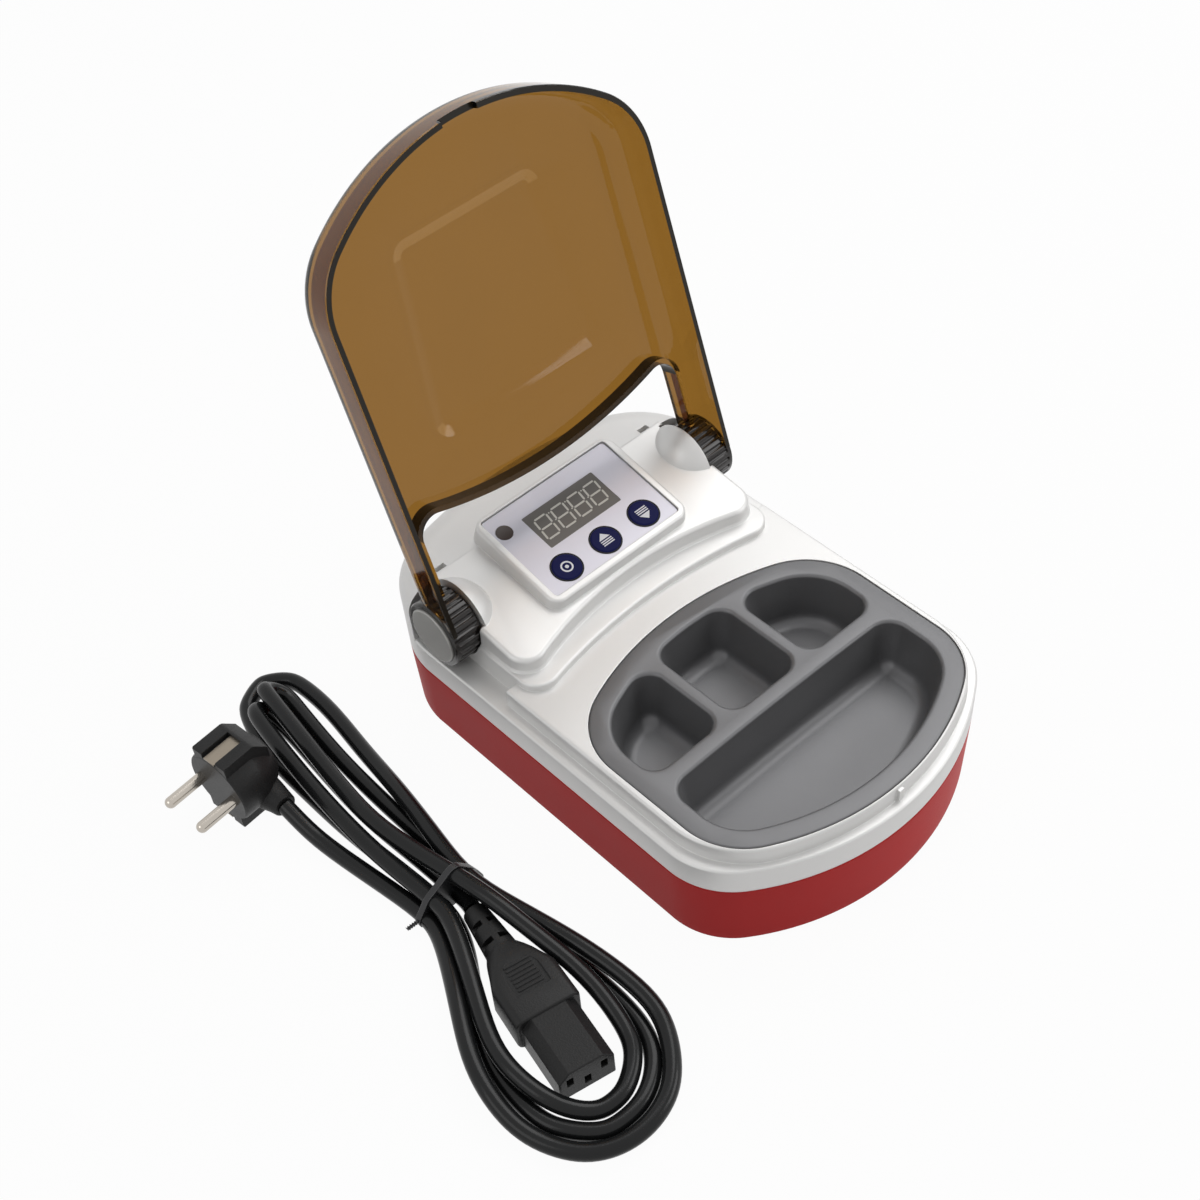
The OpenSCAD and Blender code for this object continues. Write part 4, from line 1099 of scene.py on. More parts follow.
@dataclass
class Cover:
    """The silver cover: skirt, ledge, deck, shelf, plateau, rear, domes and label frame."""

    maker: Maker
    dome_r: float = 17.0
    dome_x: float = 64.3
    dome_flat: float = 60.0
    drum_room: float = 14.7
    shelf_bow: HollowBow = HollowBow(64.3, 21.4, 230, 9, 88)
    plateau_bow: HollowBow = HollowBow(63, 31.4, 163, 9, 80)
    rear_round: Point2 = (11.5, 9.5)
    rear_steps: int = 12
    label_frame: RoundRect = RoundRect(36.2, 36.2, -26, 24.6, 6)
    pot_gap: float = 0.35
    pot_seat: float = 3.6
    key_x: tuple[float, ...] = (-20.1, 0.3, 20.7)
    key_y: float = -14.4
    key_hole_r: float = 6.75
    lamp_at: Point2 = (-27.8, 13.4)
    lamp_hole_r: float = 3.5

    def skirt(self) -> Piece:
        """Makes the skirt up to the ledge, with a rounded outer edge.

        Returns:
            The solid skirt.
        """
        lv = LEVELS
        rings = [at_z(lv.body.line(inset), lv.seam + up) for inset, up in ((0.35, 0), (0.3, 0.5), (0, 0.8))]
        rings += [at_z(lv.body.line(i), lv.ledge - d) for i, d in rounded(1.1, 5)]
        return self.maker.loft("cover_silver", rings)

    def deck(self) -> Piece:
        """Makes the raised deck round the pot.

        Returns:
            The solid deck, cut off where the shelf starts.
        """
        lv, mk = LEVELS, self.maker
        foot = ((-0.4, -1), (-0.3, 0.3), (0, 1))
        rings = [at_z(lv.deck_line.line(inset), lv.ledge + up) for inset, up in foot]
        rings += [at_z(lv.deck_line.line(i + 0.05), lv.deck - d) for i, d in rounded(1.2, 5)]
        deck = mk.loft("deck", rings)
        return mk.cut(deck, mk.box("clip", (-90, 26, 40), (90, 90, 60)), Cut.AWAY)

    def shelf(self) -> Piece:
        """Makes the low shelf at the foot of the plateau.

        Returns:
            The solid shelf.
        """
        lv, bow = LEVELS, self.shelf_bow
        rings = [at_z(bow.line(-0.3), lv.ledge - 1), at_z(bow.line(0), lv.deck + 0.8)]
        rings += [at_z(bow.line(i), lv.shelf - d) for i, d in rounded(1.0, 5)]
        return self.maker.loft("shelf", rings)

    def plateau(self) -> Piece:
        """Makes the sloping plateau with a rounded top edge.

        Returns:
            The solid plateau.
        """
        lv, bow = LEVELS, self.plateau_bow
        rings = [at_z(bow.line(-0.5), lv.ledge - 1), at_z(bow.line(-0.5), lv.shelf)]
        rings.append(at_z(bow.line(0.1), lv.shelf + 1.2))
        for inset, drop in rounded(1.9, 7):
            rings.append(at_z(bow.line(inset + 0.2), lambda y, d=drop: lv.plateau_at(y, d)))
        return self.maker.loft("plateau", rings)

    def rear(self) -> Piece:
        """Makes the full-width rear part with a big rounded edge.

        Returns:
            The solid rear part, cut off at its front.
        """
        lv, mk = LEVELS, self.maker
        rings = [at_z(lv.body.line(0), lv.ledge - 1.5)]
        wide, high = self.rear_round
        for i in range(self.rear_steps + 1):
            a = math.pi / 2 * i / self.rear_steps
            drop = high * (1 - math.sin(a))
            rings.append(at_z(lv.body.line(wide * (1 - math.cos(a))), lambda y, d=drop: lv.rear_at(y, d)))
        rear = mk.loft("rear", rings)
        return mk.cut(rear, mk.box("clip", (-90, -130, 30), (90, lv.cut_y, 100)), Cut.AWAY)

    def frame_block(self) -> Piece:
        """Makes the raised frame round the label.

        Returns:
            The solid block on the label's plane.
        """
        rect = self.label_frame
        rings = [at_z(rect.line(inset), z) for inset, z in ((-0.6, -9), (-0.5, -5), (0, -1))]
        rings += [at_z(rect.line(i + 0.1), 0.8 - d) for i, d in rounded(1.4, 6)]
        block = self.maker.loft("frame", rings)
        block.data.transform(LEVELS.panel())
        return block

    def slab(self, w: float, l: float, r: float, z: Point2, y: float = 0) -> Piece:
        """Makes a rounded slab in the label's frame.

        Args:
            w: width.
            l: length.
            r: radius of its corners.
            z: its lowest and highest level.
            y: where its middle lies along the label.

        Returns:
            The slab.
        """
        line = RoundRect(w / 2, w / 2, y - l / 2, y + l / 2, r).line()
        obj = self.maker.loft("slab", [at_z(line, z[0]), at_z(line, z[1])])
        obj.data.transform(LEVELS.panel())
        return obj

    def panel_hole(self, at: Point2, r: float, n: int) -> Piece:
        """Makes a round hole through the label's frame.

        Args:
            at: its middle on the label.
            r: its radius.
            n: number of its sides.

        Returns:
            The cylinder that cuts the hole.
        """
        line = arc(at[0], at[1], r, 0, 360, n)
        hole = self.maker.loft("hole", [at_z(line, -4), at_z(line, 2)])
        hole.data.transform(LEVELS.panel())
        return hole

    def add_domes(self, cover: Piece) -> None:
        """Joins the ball-shaped hinge housings to the cover.

        Args:
            cover: the cover so far.
        """
        lv, mk = LEVELS, self.maker
        for s in (-1, 1):
            dome = mk.ball("dome", (s * self.dome_x, lv.hinge_y, lv.hinge_z), self.dome_r)
            x0, x1 = sorted((s * 40, s * self.dome_flat))
            mk.cut(dome, mk.box("keep", (x0, 40, 58), (x1, 82, 90)), Cut.KEEP)
            mk.cut(cover, dome, Cut.JOIN)

    def cut_hinge_rooms(self, cover: Piece) -> None:
        """Cuts the rooms of the drums and the small slots behind them.

        Args:
            cover: the cover so far.
        """
        lv, mk, room = LEVELS, self.maker, self.drum_room
        for s in (-1, 1):
            x0, x1 = sorted((s * (self.dome_flat + 0.1), s * 80))
            mk.cut(cover, mk.rod_x("drum", (x0, x1), lv.hinge_y, lv.hinge_z, room, 128), Cut.AWAY)
            above = mk.box("room", (x0, lv.hinge_y - room, lv.hinge_z), (x1, lv.hinge_y + room, 95))
            mk.cut(cover, above, Cut.AWAY)
            x0, x1 = sorted((s * 52, s * 57))
            mk.cut(cover, mk.box("slot", (x0, 79, 69.5), (x1, 81.4, 75)), Cut.AWAY)

    def cut_panel(self, cover: Piece) -> None:
        """Cuts the label's pocket, the room under it, the window and the round holes.

        Args:
            cover: the cover so far.
        """
        mk = self.maker
        mk.cut(cover, self.slab(65.5, 45.3, 1.6, (-0.7, 3)), Cut.AWAY)
        mk.cut(cover, self.slab(62, 42, 2, (-16, -2.3)), Cut.AWAY)
        mk.cut(cover, self.slab(34.8, 15.6, 0.6, (-4, 1), 5.1), Cut.AWAY)
        for x in self.key_x:
            mk.cut(cover, self.panel_hole((x, self.key_y), self.key_hole_r, 64), Cut.AWAY)
        mk.cut(cover, self.panel_hole(self.lamp_at, self.lamp_hole_r, 48), Cut.AWAY)

    def build(self) -> Piece:
        """Joins the forms, cuts the openings and paints the cover.

        Returns:
            The finished piece.
        """
        lv, mk = LEVELS, self.maker
        cover = self.skirt()
        for part in (self.deck(), self.shelf(), self.plateau(), self.rear(), self.frame_block()):
            mk.cut(cover, part, Cut.JOIN)
        self.add_domes(cover)
        seat, hole = lv.pot_line.line(-self.pot_gap), lv.pot_line.line(self.pot_seat)
        mk.cut(cover, mk.loft("seat", [at_z(seat, 52), at_z(seat, 60)]), Cut.AWAY)
        mk.cut(cover, mk.loft("through", [at_z(hole, 20), at_z(hole, 60)]), Cut.AWAY)
        self.cut_hinge_rooms(cover)
        self.cut_panel(cover)
        mk.cut(cover, mk.box("rib", (-1.25, -110, 47.4), (1.25, -107.5, 53.4)), Cut.JOIN)
        mk.smooth(cover, 24)
        return place(cover, SILVER, Body.BASE, "silver_cover", "top_cover")


@dataclass
class Pot:
    """The cast pot with one wide front well and three small ones."""

    maker: Maker
    rim: float = 8.0
    mid_y: float = -46.6
    divider: float = 6.4
    small_divider: float = 5.0
    side_x: float = 20.8
    depth: float = 22.0
    floor_inset: float = 9.0
    back_r: float = 115.5
    flat: float = 2000.0

    def steps(self) -> list[Point2]:
        """Gives the section of a well.

        Returns:
            Insets and heights of its rings, from its floor to its rim.
        """
        top = LEVELS.deck
        low = top - self.depth
        out = [(self.floor_inset, low)]
        for i in range(1, 9):
            a = math.pi / 2 * i / 8
            out.append((self.floor_inset - 5.8 * math.sin(a), low + 5.4 * (1 - math.cos(a))))
        out += [(1.9, top - 10.5), (0.6, top - 3.4)]
        for i in range(7):
            a = math.pi / 2 * i / 6
            out.append((0.45 - 1.6 * (1 - math.cos(a)), top - 1.5 + 1.5 * math.sin(a)))
        out.append((-1.3, top + 0.6))
        return out

    def well(self, line_at: Callable[[float], Line]) -> Piece:
        """Makes the solid of one well's hollow."""
        return self.maker.loft("well", [at_z(line_at(d), z) for d, z in self.steps()])

    def casting(self) -> Piece:
        """Makes the flange and the body without its wells.

        Returns:
            The solid casting.
        """
        lv = LEVELS
        line = lv.pot_line.line
        levels = ((6.4, 30), (5.2, 31.6), (4, 52.3), (0.3, 52.6), (0, 53))
        rings = [at_z(line(inset), z) for inset, z in levels]
        rings += [at_z(line(i), lv.deck - d) for i, d in rounded(0.7, 4)]
        return self.maker.loft("pot_cast", rings)

    def build(self) -> Piece:
        """Cuts the wells in the casting and coats the pot.

        Returns:
            The finished piece.
        """
        lv, mk = LEVELS, self.maker
        pot = self.casting()
        wide = lv.pot_line.half_w - self.rim
        back = lv.pot_line.back - self.rim
        front_y, back_y = self.mid_y - self.divider / 2, self.mid_y + self.divider / 2
        big = BowedBox(wide, lv.pot_line.front + self.rim, 96, 22, front_y, self.flat, 9, 30, 18)
        mk.cut(pot, self.well(big.line), Cut.AWAY)
        half = self.side_x - self.small_divider / 2

        def middle_line(d: float) -> Line:
            """Outline of the middle well, whose corners shrink more slowly than its sides."""
            c = max(8 - d * 0.6, 1)
            return BowedBox(half - d, back_y + d, self.flat, c, back - d, self.back_r - d, c, 16, 14).line(0)

        mk.cut(pot, self.well(middle_line), Cut.AWAY)
        side = SideWell(self.side_x + self.small_divider / 2, wide, back_y, back, self.back_r, 8, 24)
        mk.cut(pot, self.well(side.line), Cut.AWAY)
        mirrored = self.well(lambda d: [(-x, y) for x, y in reversed(side.line(d))])
        mk.cut(pot, mirrored, Cut.AWAY)
        mk.smooth(pot, 32)
        return place(pot, POT_COAT, Body.BASE, "pot_aluminium", "pot")


@dataclass
class Lid:
    """The amber lid, its ribbed drums and its open pose."""

    maker: Maker
    height: float = 19.4
    wall: float = 2.4
    open_deg: float = 108.0
    drum_r: float = 14.2
    drum_in: float = 60.6
    drum_out: float = 74.3
    cap_r: float = 11.8
    square: RoundRect = RoundRect(35, 42, -79, -2, 8, 12)

    crown_r: float = 8.0
    crown: float = 7.5
    crown_in: float = 6.1
    crown_steps: int = 9
    grooves: int = 24
    steps_each: int = 12
    bore_r: float = 3.05

    RAISED: ClassVar[tuple[Point2, ...]] = (
        (-0.6, -0.5), (0, 0.03), (1.2, 0.22), (2.6, 0.62), (4.4, 1.12), (5.6, 1.38), (6.4, 1.45))
    SLOPE: ClassVar[tuple[Point2, ...]] = (
        (0.2, -4), (0.9, -2.42), (1.3, -2.3), (3, -1.75), (5.2, -1.06), (6.2, -0.9))
    LIP: ClassVar[HollowBow] = HollowBow(67.4, 22.3, 197.8, 10.2, 80)
    GAP: ClassVar[HollowBow] = HollowBow(65.2, 24.5, 200, 8, 90)

    def opened(self) -> Matrix:
        """Gives the turn from the closed lid to its open rest pose."""
        y, z = LEVELS.hinge_y, LEVELS.hinge_z
        return stand(0, y, z, -self.open_deg, "X") @ Matrix.Translation(Vector((0, -y, -z)) * MM)

    def skin(self, wall: float, top: float, drop: float, inset: float) -> list[Ring]:
        """Gives the rings of the lid's crown.

        Args:
            wall: how far the rings lie inside the lid's outline.
            top: height of the last ring.
            drop: how far the crown falls to the side.
            inset: how far the crown reaches inwards.

        Returns:
            Rings from the side to the top.
        """
        rings = []
        for i in range(1, self.crown_steps + 1):
            a = math.pi / 2 * i / self.crown_steps
            line = LEVELS.lid_line.line(wall + inset * (1 - math.cos(a)))
            rings.append(at_z(line, top - drop * (1 - math.sin(a))))
        return rings

    def hollow(self, rim: float, top: float) -> Piece:
        """Makes the solid of the lid's inside.

        Args:
            rim: height of the rim.
            top: height of the lid's top.

        Returns:
            The solid, with the raised square and without the lip.
        """
        mk, line, wall = self.maker, LEVELS.lid_line.line, self.wall
        rings = [at_z(line(wall - 0.2), rim - 1), at_z(line(wall), rim + 2), at_z(line(wall), top - 8.5)]
        hollow = mk.loft("hollow", rings + self.skin(wall, top - wall, self.crown_in, self.crown_r))
        rings = [at_z(self.square.line(d), top + z) for d, z in self.SLOPE]
        mk.cut(hollow, mk.loft("raised_in", rings), Cut.JOIN)
        lip = self.LIP.line()
        return mk.cut(hollow, mk.loft("lip", [at_z(lip, LEVELS.shelf + 0.8), at_z(lip, top + 1)]), Cut.AWAY)

    def pane(self) -> Piece:
        """Makes the moulded lid itself.

        Returns:
            The lid in its open pose.
        """
        lv, mk = LEVELS, self.maker
        rim = lv.ledge + 0.1
        top = rim + self.height
        line = lv.lid_line.line
        rings = [at_z(line(0.3), rim), at_z(line(0), rim + 0.5), at_z(line(0), top - self.crown)]
        lid = mk.loft("lid_amber", rings + self.skin(0.0, top, self.crown, self.crown_r))
        rings = [at_z(self.square.line(d), top + z) for d, z in self.RAISED]
        mk.cut(lid, mk.loft("raised", rings), Cut.JOIN)
        mk.cut(lid, self.hollow(rim, top), Cut.AWAY)
        gap = self.GAP.line()
        mk.cut(lid, mk.loft("gap", [at_z(gap, rim - 2), at_z(gap, top + 4)]), Cut.AWAY)
        mk.cut(lid, mk.box("rear", (-80, lv.hinge_y - 2.5, rim - 2), (80, 120, top + 4)), Cut.AWAY)
        mk.cut(lid, mk.box("notch", (-7.7, -118, rim - 2), (7.7, -106, rim + 2.6)), Cut.AWAY)
        for s in (-1, 1):
            x0, x1 = sorted((s * 60, s * 80))
            mk.cut(lid, mk.rod_x("seat", (x0, x1), lv.hinge_y, lv.hinge_z, self.drum_r - 0.4, 96), Cut.AWAY)
        mk.smooth(lid, 26)
        self.paint_edge_shade_and_slope_highlight(lid, rim)
        lid.data.transform(self.opened())
        return lid

    def paint_edge_shade_and_slope_highlight(self, lid: Piece, rim: float) -> None:
        """Paints the lid's cut faces near-black as painted shade, where light through its clear plastic
        darkens them, and gives its lit slopes a painted highlight.

        Args:
            lid: the lid in its closed pose.
            rim: height of the rim.
        """
        lid.data.materials.clear()
        for paint in (AMBER, AMBER_PAINTED_SHADE_EDGE, AMBER_PAINTED_HIGHLIGHT):
            lid.data.materials.append(paint.material())
        cut = [Vector(p) for p in self.GAP.line()]
        top = rim + self.height
        for face in lid.data.polygons:
            c = face.center / MM
            low = c.z < rim + 3.0 and face.normal.z < -0.6
            near = min((Vector((c.x, c.y)) - p).length for p in cut) < 2.5
            # Rim underside and cut-out faces get the painted shade.
            if low or (near and abs(face.normal.z) < 0.35):
                face.material_index = 1
            # Faces of the square's inner slope that catch the light get the painted highlight.
            elif top - 2.2 < c.z < top - 1.1 and face.normal.z < -0.5 and self.catches_light(c):
                face.material_index = 2

    def catches_light(self, c: Vector) -> bool:
        """Tells whether the photograph shows a light band on a spot of the square's inner slope.

        Args:
            c: the spot, in millimetres.

        Returns:
            True where it does.
        """
        front = c.y < self.square.front + 7.5
        side = c.x < -34 and c.y > -33
        return front or side

    def groove(self, i: int) -> float:
        """Gives the depth of the drum's ribbing."""
        phase = (i % self.steps_each) / self.steps_each
        return 0.85 * max(0.0, math.sin(math.pi * max(0.0, (phase - 0.45) / 0.55))) ** 0.5

    def drum(self, s: int) -> Piece:
        """Makes one ribbed drum with the seat of its cap.

        Args:
            s: 1 for the right drum and -1 for the left one.

        Returns:
            The drum in its open pose.
        """
        lv, mk = LEVELS, self.maker
        n = self.grooves * self.steps_each
        end = self.drum_out
        ends = ((self.drum_in, 0.8), (self.drum_in + 0.7, None), (end - 2.2, None), (end - 1.9, 0.0),
                (end - 0.4, 0.0), (end, 0.4))
        rings = []
        for x, inset in ends:
            ring = []
            for i in range(n):
                r = self.drum_r - (self.groove(i) if inset is None else inset)
                a = 2 * math.pi * i / n
                ring.append((s * x, lv.hinge_y + s * r * math.cos(a), lv.hinge_z + r * math.sin(a)))
            rings.append(ring)
        drum = mk.loft("drum_right" if s > 0 else "drum_left", rings)
        x0, x1 = sorted((s * (end - 1.4), s * 80))
        mk.cut(drum, mk.rod_x("seat", (x0, x1), lv.hinge_y, lv.hinge_z, self.cap_r + 0.05, 96), Cut.AWAY)
        x0, x1 = sorted((s * 50, s * 80))
        mk.cut(drum, mk.rod_x("bore", (x0, x1), lv.hinge_y, lv.hinge_z, self.bore_r, 48), Cut.AWAY)
        drum.data.transform(self.opened())
        return mk.smooth(drum, 35)

    def build(self) -> None:
        """Builds lid and drums."""
        place(self.pane(), AMBER, Body.LID, "amber", "lid")
        for s in (-1, 1):
            place(self.drum(s), DRUM, Body.LID, "amber")


@dataclass
class PanelPrint:
    """Printed symbols on the keys and the digits in the window."""

    maker: Maker
    keys: Point3 = (-20.1, 0.3, 20.7)
    key_y: float = -14.4
    face: float = 0.5
    digit_x: tuple[float, ...] = (-12.9, -4.3, 4.3, 12.9)
    digit_y: float = 5.1
    ring_r: Point2 = (1.9, 2.6)

    def flat(self, name: str, lines: Sequence[Line], z0: float, z1: float) -> Piece:
        """Makes thin plates in the label's frame.

        Args:
            name: piece name.
            lines: outline of each plate.
            z0: height of their undersides.
            z1: height of their faces.

        Returns:
            One object of all the plates.
        """
        parts = [self.maker.loft("bit", [at_z(line, z0), at_z(line, z1)]) for line in lines]
        obj = self.maker.join(name, parts)
        obj.data.transform(LEVELS.panel())
        return obj

    def arrow(self, cx: float, up: bool) -> list[Line]:
        """Gives an arrow head with three bars under it.

        Args:
            cx: x of its middle.
            up: whether it points up.

        Returns:
            Its outlines.
        """
        s = 1 if up else -1
        y, w = self.key_y, 2.7
        head = [(cx - w, y + s * 0.5), (cx + w, y + s * 0.5), (cx, y + s * 3.4)]
        if not up:
            head.reverse()
        bars = []
        for i in range(3):
            a, b = sorted((y + s * (-0.1 - i * 0.95), y + s * (-0.6 - i * 0.95)))
            bars.append([(cx - w, a), (cx + w, a), (cx + w, b), (cx - w, b)])
        return [head] + bars

    def ring_mark(self, cx: float) -> list[Line]:
        """Gives a plain ring with a dot, in place of the lettering in the photograph.

        Args:
            cx: x of its middle.

        Returns:
            Its outlines.
        """
        n = 24
        small, large = self.ring_r
        parts: list[Line] = []
        for i in range(n):
            a0, a1 = 2 * math.pi * i / n, 2 * math.pi * (i + 1.02) / n
            corners = ((small, a0), (large, a0), (large, a1), (small, a1))
            parts.append([(cx + r * math.cos(a), self.key_y + r * math.sin(a)) for r, a in corners])
        parts.append(arc(cx, self.key_y, 0.8, 0, 360, 24))
        return parts

    def bar(self, a: Vector, b: Vector, at: Point2) -> Line:
        """Gives one six-sided segment.

        Args:
            a: its first end, from the digit's middle.
            b: its last end, from the digit's middle.
            at: the digit's middle.

        Returns:
            Its outline, leaning as the digit does.
        """
        half, gap, lean = 0.42, 0.3, 0.12
        d = (b - a).normalized()
        n = Vector((-d.y, d.x))
        a, b = a + d * gap, b - d * gap
        points = [a, a + (d - n) * half, b - (d + n) * half, b, b - (d - n) * half, a + (d + n) * half]
        return [(at[0] + p.x + p.y * lean, at[1] + p.y) for p in points]

    def digit(self, at: Point2) -> list[Line]:
        """Gives all seven segments of one digit.

        Args:
            at: its middle.

        Returns:
            Their outlines.
        """
        w, h = 3.1, 5.2
        ends = [((-w, y), (w, y)) for y in (h, 0, -h)]
        for x in (-w, w):
            ends += [((x, 0), (x, h)), ((x, -h), (x, 0))]
        return [self.bar(Vector(a), Vector(b), at) for a, b in ends]

    def build(self) -> None:
        """Builds the prints and puts each on its carrier."""
        z0, z1 = self.face - 0.02, self.face + 0.04
        left, middle, right = self.keys
        prints = (
            ("print_set", self.ring_mark(left), Body.KEY_SET),
            ("print_up", self.arrow(middle, True), Body.KEY_UP),
            ("print_down", self.arrow(right, False), Body.KEY_DOWN),
        )
        for name, lines, body in prints:
            place(self.flat(name, lines, z0, z1), PRINT_WHITE, body, "key_blue")
        lines = []
        for cx in self.digit_x:
            lines += self.digit((cx, self.digit_y))
        for cx in self.digit_x[:-1]:
            lines += [arc(cx + 4.9, cy, 0.35, 0, 360, 12) for cy in (9.6, 5.4)]
        place(self.flat("digits", lines, -0.055, -0.01), DIGIT, Body.BASE, "display_body")


@dataclass
class CordSet:
    """Mains cord with its plug, connector and tie, lying beside the heater."""

    maker: Maker
    diameter: float = 7.0
    plug_r: float = 18.6
    wing_half: float = 9.4
    length: float = 0.0
    relax_passes: int = 7
    tied: tuple[Point2, ...] = ((-139.6, 3.8), (-116.2, 3.8), (-134.9, 10.2), (-119.4, 10.7), (-124, 16.4))
    route: tuple[Point3, ...] = (
        (-148, 77, 9.2), (-146.9, 57.8, 4.2), (-143.1, 30.3, 3.6), (-139.6, 3.1, 3.7),
        (-142.2, -12.3, 4.5), (-154.8, -36.7, 8.9), (-168.3, -61.2, 9.5), (-173.1, -80.5, 7.1),
        (-172, -96.4, 4.3), (-165.2, -111.2, 4.1), (-155.6, -119.3, 4.3), (-143.6, -122.4, 4.5),
        (-131.4, -120.7, 4.8), (-120.7, -114.8, 5.7), (-110.7, -102, 7.2), (-106.4, -86.4, 10),
        (-108.8, -58, 11.1), (-114.4, -30.2, 11.1), (-119.4, -2.6, 10.7), (-115.6, 25.3, 11.2),
        (-110.6, 52.7, 8), (-106.7, 80.1, 4.1), (-102.9, 107.7, 3.9), (-103.1, 127.6, 3.8),
        (-106, 135, 3.8), (-112.3, 139.8, 3.7), (-116.3, 140.2, 3.7), (-123.4, 136.9, 3.7),
        (-129.1, 131, 3.6), (-134.7, 107.8, 3.6), (-135.5, 79.7, 3.6), (-135.4, 51.7, 3.6),
        (-133.3, 23.8, 3.6), (-132.2, -4.2, 3.6), (-138.6, -23, 3.6), (-153.6, -46, 3.6),
        (-164.1, -67.2, 3.6), (-165.4, -91.1, 3.6), (-161.5, -102.5, 3.6), (-153.9, -111.5, 3.6),
        (-146.5, -114.5, 3.6), (-134.7, -114.1, 3.6), (-124.2, -108.5, 3.6), (-116.6, -99.2, 3.6),
        (-112.6, -83.7, 3.6), (-112.4, -55.8, 3.6), (-114.7, -27.9, 3.6), (-116.2, 0, 3.6),
        (-116.8, 27.9, 3.6), (-116.9, 55.9, 3.6), (-115.9, 84.1, 3.8), (-112.9, 112, 4.1),
        (-111.7, 123.9, 5.2), (-112.6, 127.5, 6.6), (-114.9, 130.2, 8.5), (-117.8, 130.2, 11),
        (-119.5, 127.4, 13.1), (-123.2, 99.6, 13.2), (-126.7, 71.8, 12.3), (-129.1, 43.9, 12.8),
        (-126.1, 15.8, 14.3), (-122.3, -12.4, 17.5), (-119.1, -39.8, 14.5), (-117.1, -67.1, 12.2),
        (-120.2, -89.8, 8.3), (-125.4, -99.8, 6), (-134.9, -106.3, 5.2), (-142.6, -107.5, 5.1),
        (-149.9, -105.6, 5.4), (-157.2, -97.1, 7.4), (-161.3, -82.5, 9.9), (-159.8, -63.1, 10.8),
        (-147.9, -38.1, 11), (-136.4, -12.8, 10.7), (-135, 3.1, 10.2), (-136.9, 30.9, 10.7),
        (-136.3, 58.9, 11), (-134, 86.8, 11.4), (-130.6, 114.5, 12.2), (-128.8, 122.3, 11.6),
        (-126.9, 125.3, 10.1), (-124.1, 125.5, 7.4), (-122.3, 123.1, 5), (-121.9, 107.4, 3.6),
        (-124.4, 79.5, 3.6), (-126, 51.6, 3.7), (-124.5, 23.6, 3.7), (-124.1, -4.1, 4.4),
        (-127.1, -14.6, 9.2),
    )

    def smooth_route(self, per: int = 6) -> list[Vector]:
        """Lays a smooth curve through the route.

        Args:
            per: number of steps between two points of the route.

        Returns:
            Its points, in metres.
        """
        pts = [Vector(p) for p in self.route]
        ends = [pts[0] * 2 - pts[1]] + pts + [pts[-1] * 2 - pts[-2]]
        out = []
        for a, b, c, d in zip(ends, ends[1:], ends[2:], ends[3:]):
            for k in range(per):
                t = k / per
                bend = (2 * a - 5 * b + 4 * c - d) * t * t + (3 * b - a - 3 * c + d) * t ** 3
                out.append(0.5 * ((2 * b) + (c - a) * t + bend) * MM)
        out.append(pts[-1] * MM)
        for _ in range(self.relax_passes):
            middle = [(a + b * 2 + c) / 4 for a, b, c in zip(out, out[1:], out[2:])]
            out = [out[0]] + middle + [out[-1]]
        return out

    def cord(self) -> Piece:
        """Lays the cord as one open curve with a round section.

        Returns:
            The curve object.
        """
        pts = self.smooth_route()
        curve = bpy.data.curves.new("cord_sheath", "CURVE")
        curve.dimensions = "3D"
        curve.bevel_depth = self.diameter / 2 * MM
        curve.bevel_resolution = 8
        spline = curve.splines.new("POLY")
        spline.points.add(len(pts) - 1)
        for point, co in zip(spline.points, pts):
            point.co = (co.x, co.y, co.z, 1.0)
        spline.use_smooth = True
        obj = bpy.data.objects.new("cord_sheath", curve)
        bpy.context.scene.collection.objects.link(obj)
        self.length = sum((b - a).length for a, b in zip(pts, pts[1:]))
        return place(obj, CORD_BLACK, Body.BASE, "cord_black", "mains_cord")

    def plug(self) -> Piece:
        """Makes the moulded plug, its face at x = 0 and its contact pins along x.

        Returns:
            The plug with its neck, in its place.
        """
        mk, r = self.maker, self.plug_r
        profile = [
            (-24, r - 11), (-23.4, r - 9.2), (-21, r - 6.8), (-17, r - 4.4), (-13.4, r - 2.7),
            (-11.6, r - 2.4), (-1.4, r - 2.4), (-0.5, r - 2.7), (0, r - 3.3)]
        body = mk.turned("plug_moulding", profile, 128)
        side = [
            (-0.6, -r + 0.1), (-0.1, -r + 0.7), (-0.1, r - 0.7), (-0.6, r - 0.1), (-14.6, r - 0.1),
            (-15.6, r - 0.5), (-21.2, 12.6), (-21.2, -12.6), (-15.6, -r + 0.5), (-14.6, -r + 0.1)]
        half = self.wing_half
        wings = mk.loft("wings", [[(x, y, z) for x, z in side] for y in (half, -half)])
        mk.cut(body, wings, Cut.JOIN)
        for s in (-1, 1):
            z0, z1 = sorted((s * (r - 2.6), s * (r + 1)))
            mk.cut(body, mk.box("groove", (-14, -4, z0), (1, 4, z1)), Cut.AWAY)
        body.data.transform(stand(-164.4, 96.4, r, 186, "Z"))
        mk.cut(body, self.neck(), Cut.JOIN)
        mk.smooth(body, 30)
        return place(body, PLUG_BLACK, Body.BASE, "cord_black", "plug_body")

    def neck(self) -> Piece:
        """Makes the tapered neck that the cord leaves the plug through.

        Returns:
            The solid, in its place.
        """
        path = [
            ((-152.5, 96, 13.6), 8.6), ((-151, 91, 12.4), 8.2), ((-149.4, 85, 10.8), 6.8),
            ((-148.4, 80.5, 9.8), 5.6), ((-148.0, 77.7, 9.3), 5.1), ((-148.0, 77.1, 9.2), 4.6)]
        angles = [2 * math.pi * i / 48 for i in range(48)]
        rings = [[(x + r * math.cos(a), y, z + r * math.sin(a)) for a in angles] for (x, y, z), r in path]
        return self.maker.loft("neck_form", rings)

    def connector_frame(self) -> Matrix:
        """Gives the frame of the connector."""
        return stand(-143.2, -95.4, 9.2, -101.3, "Z")

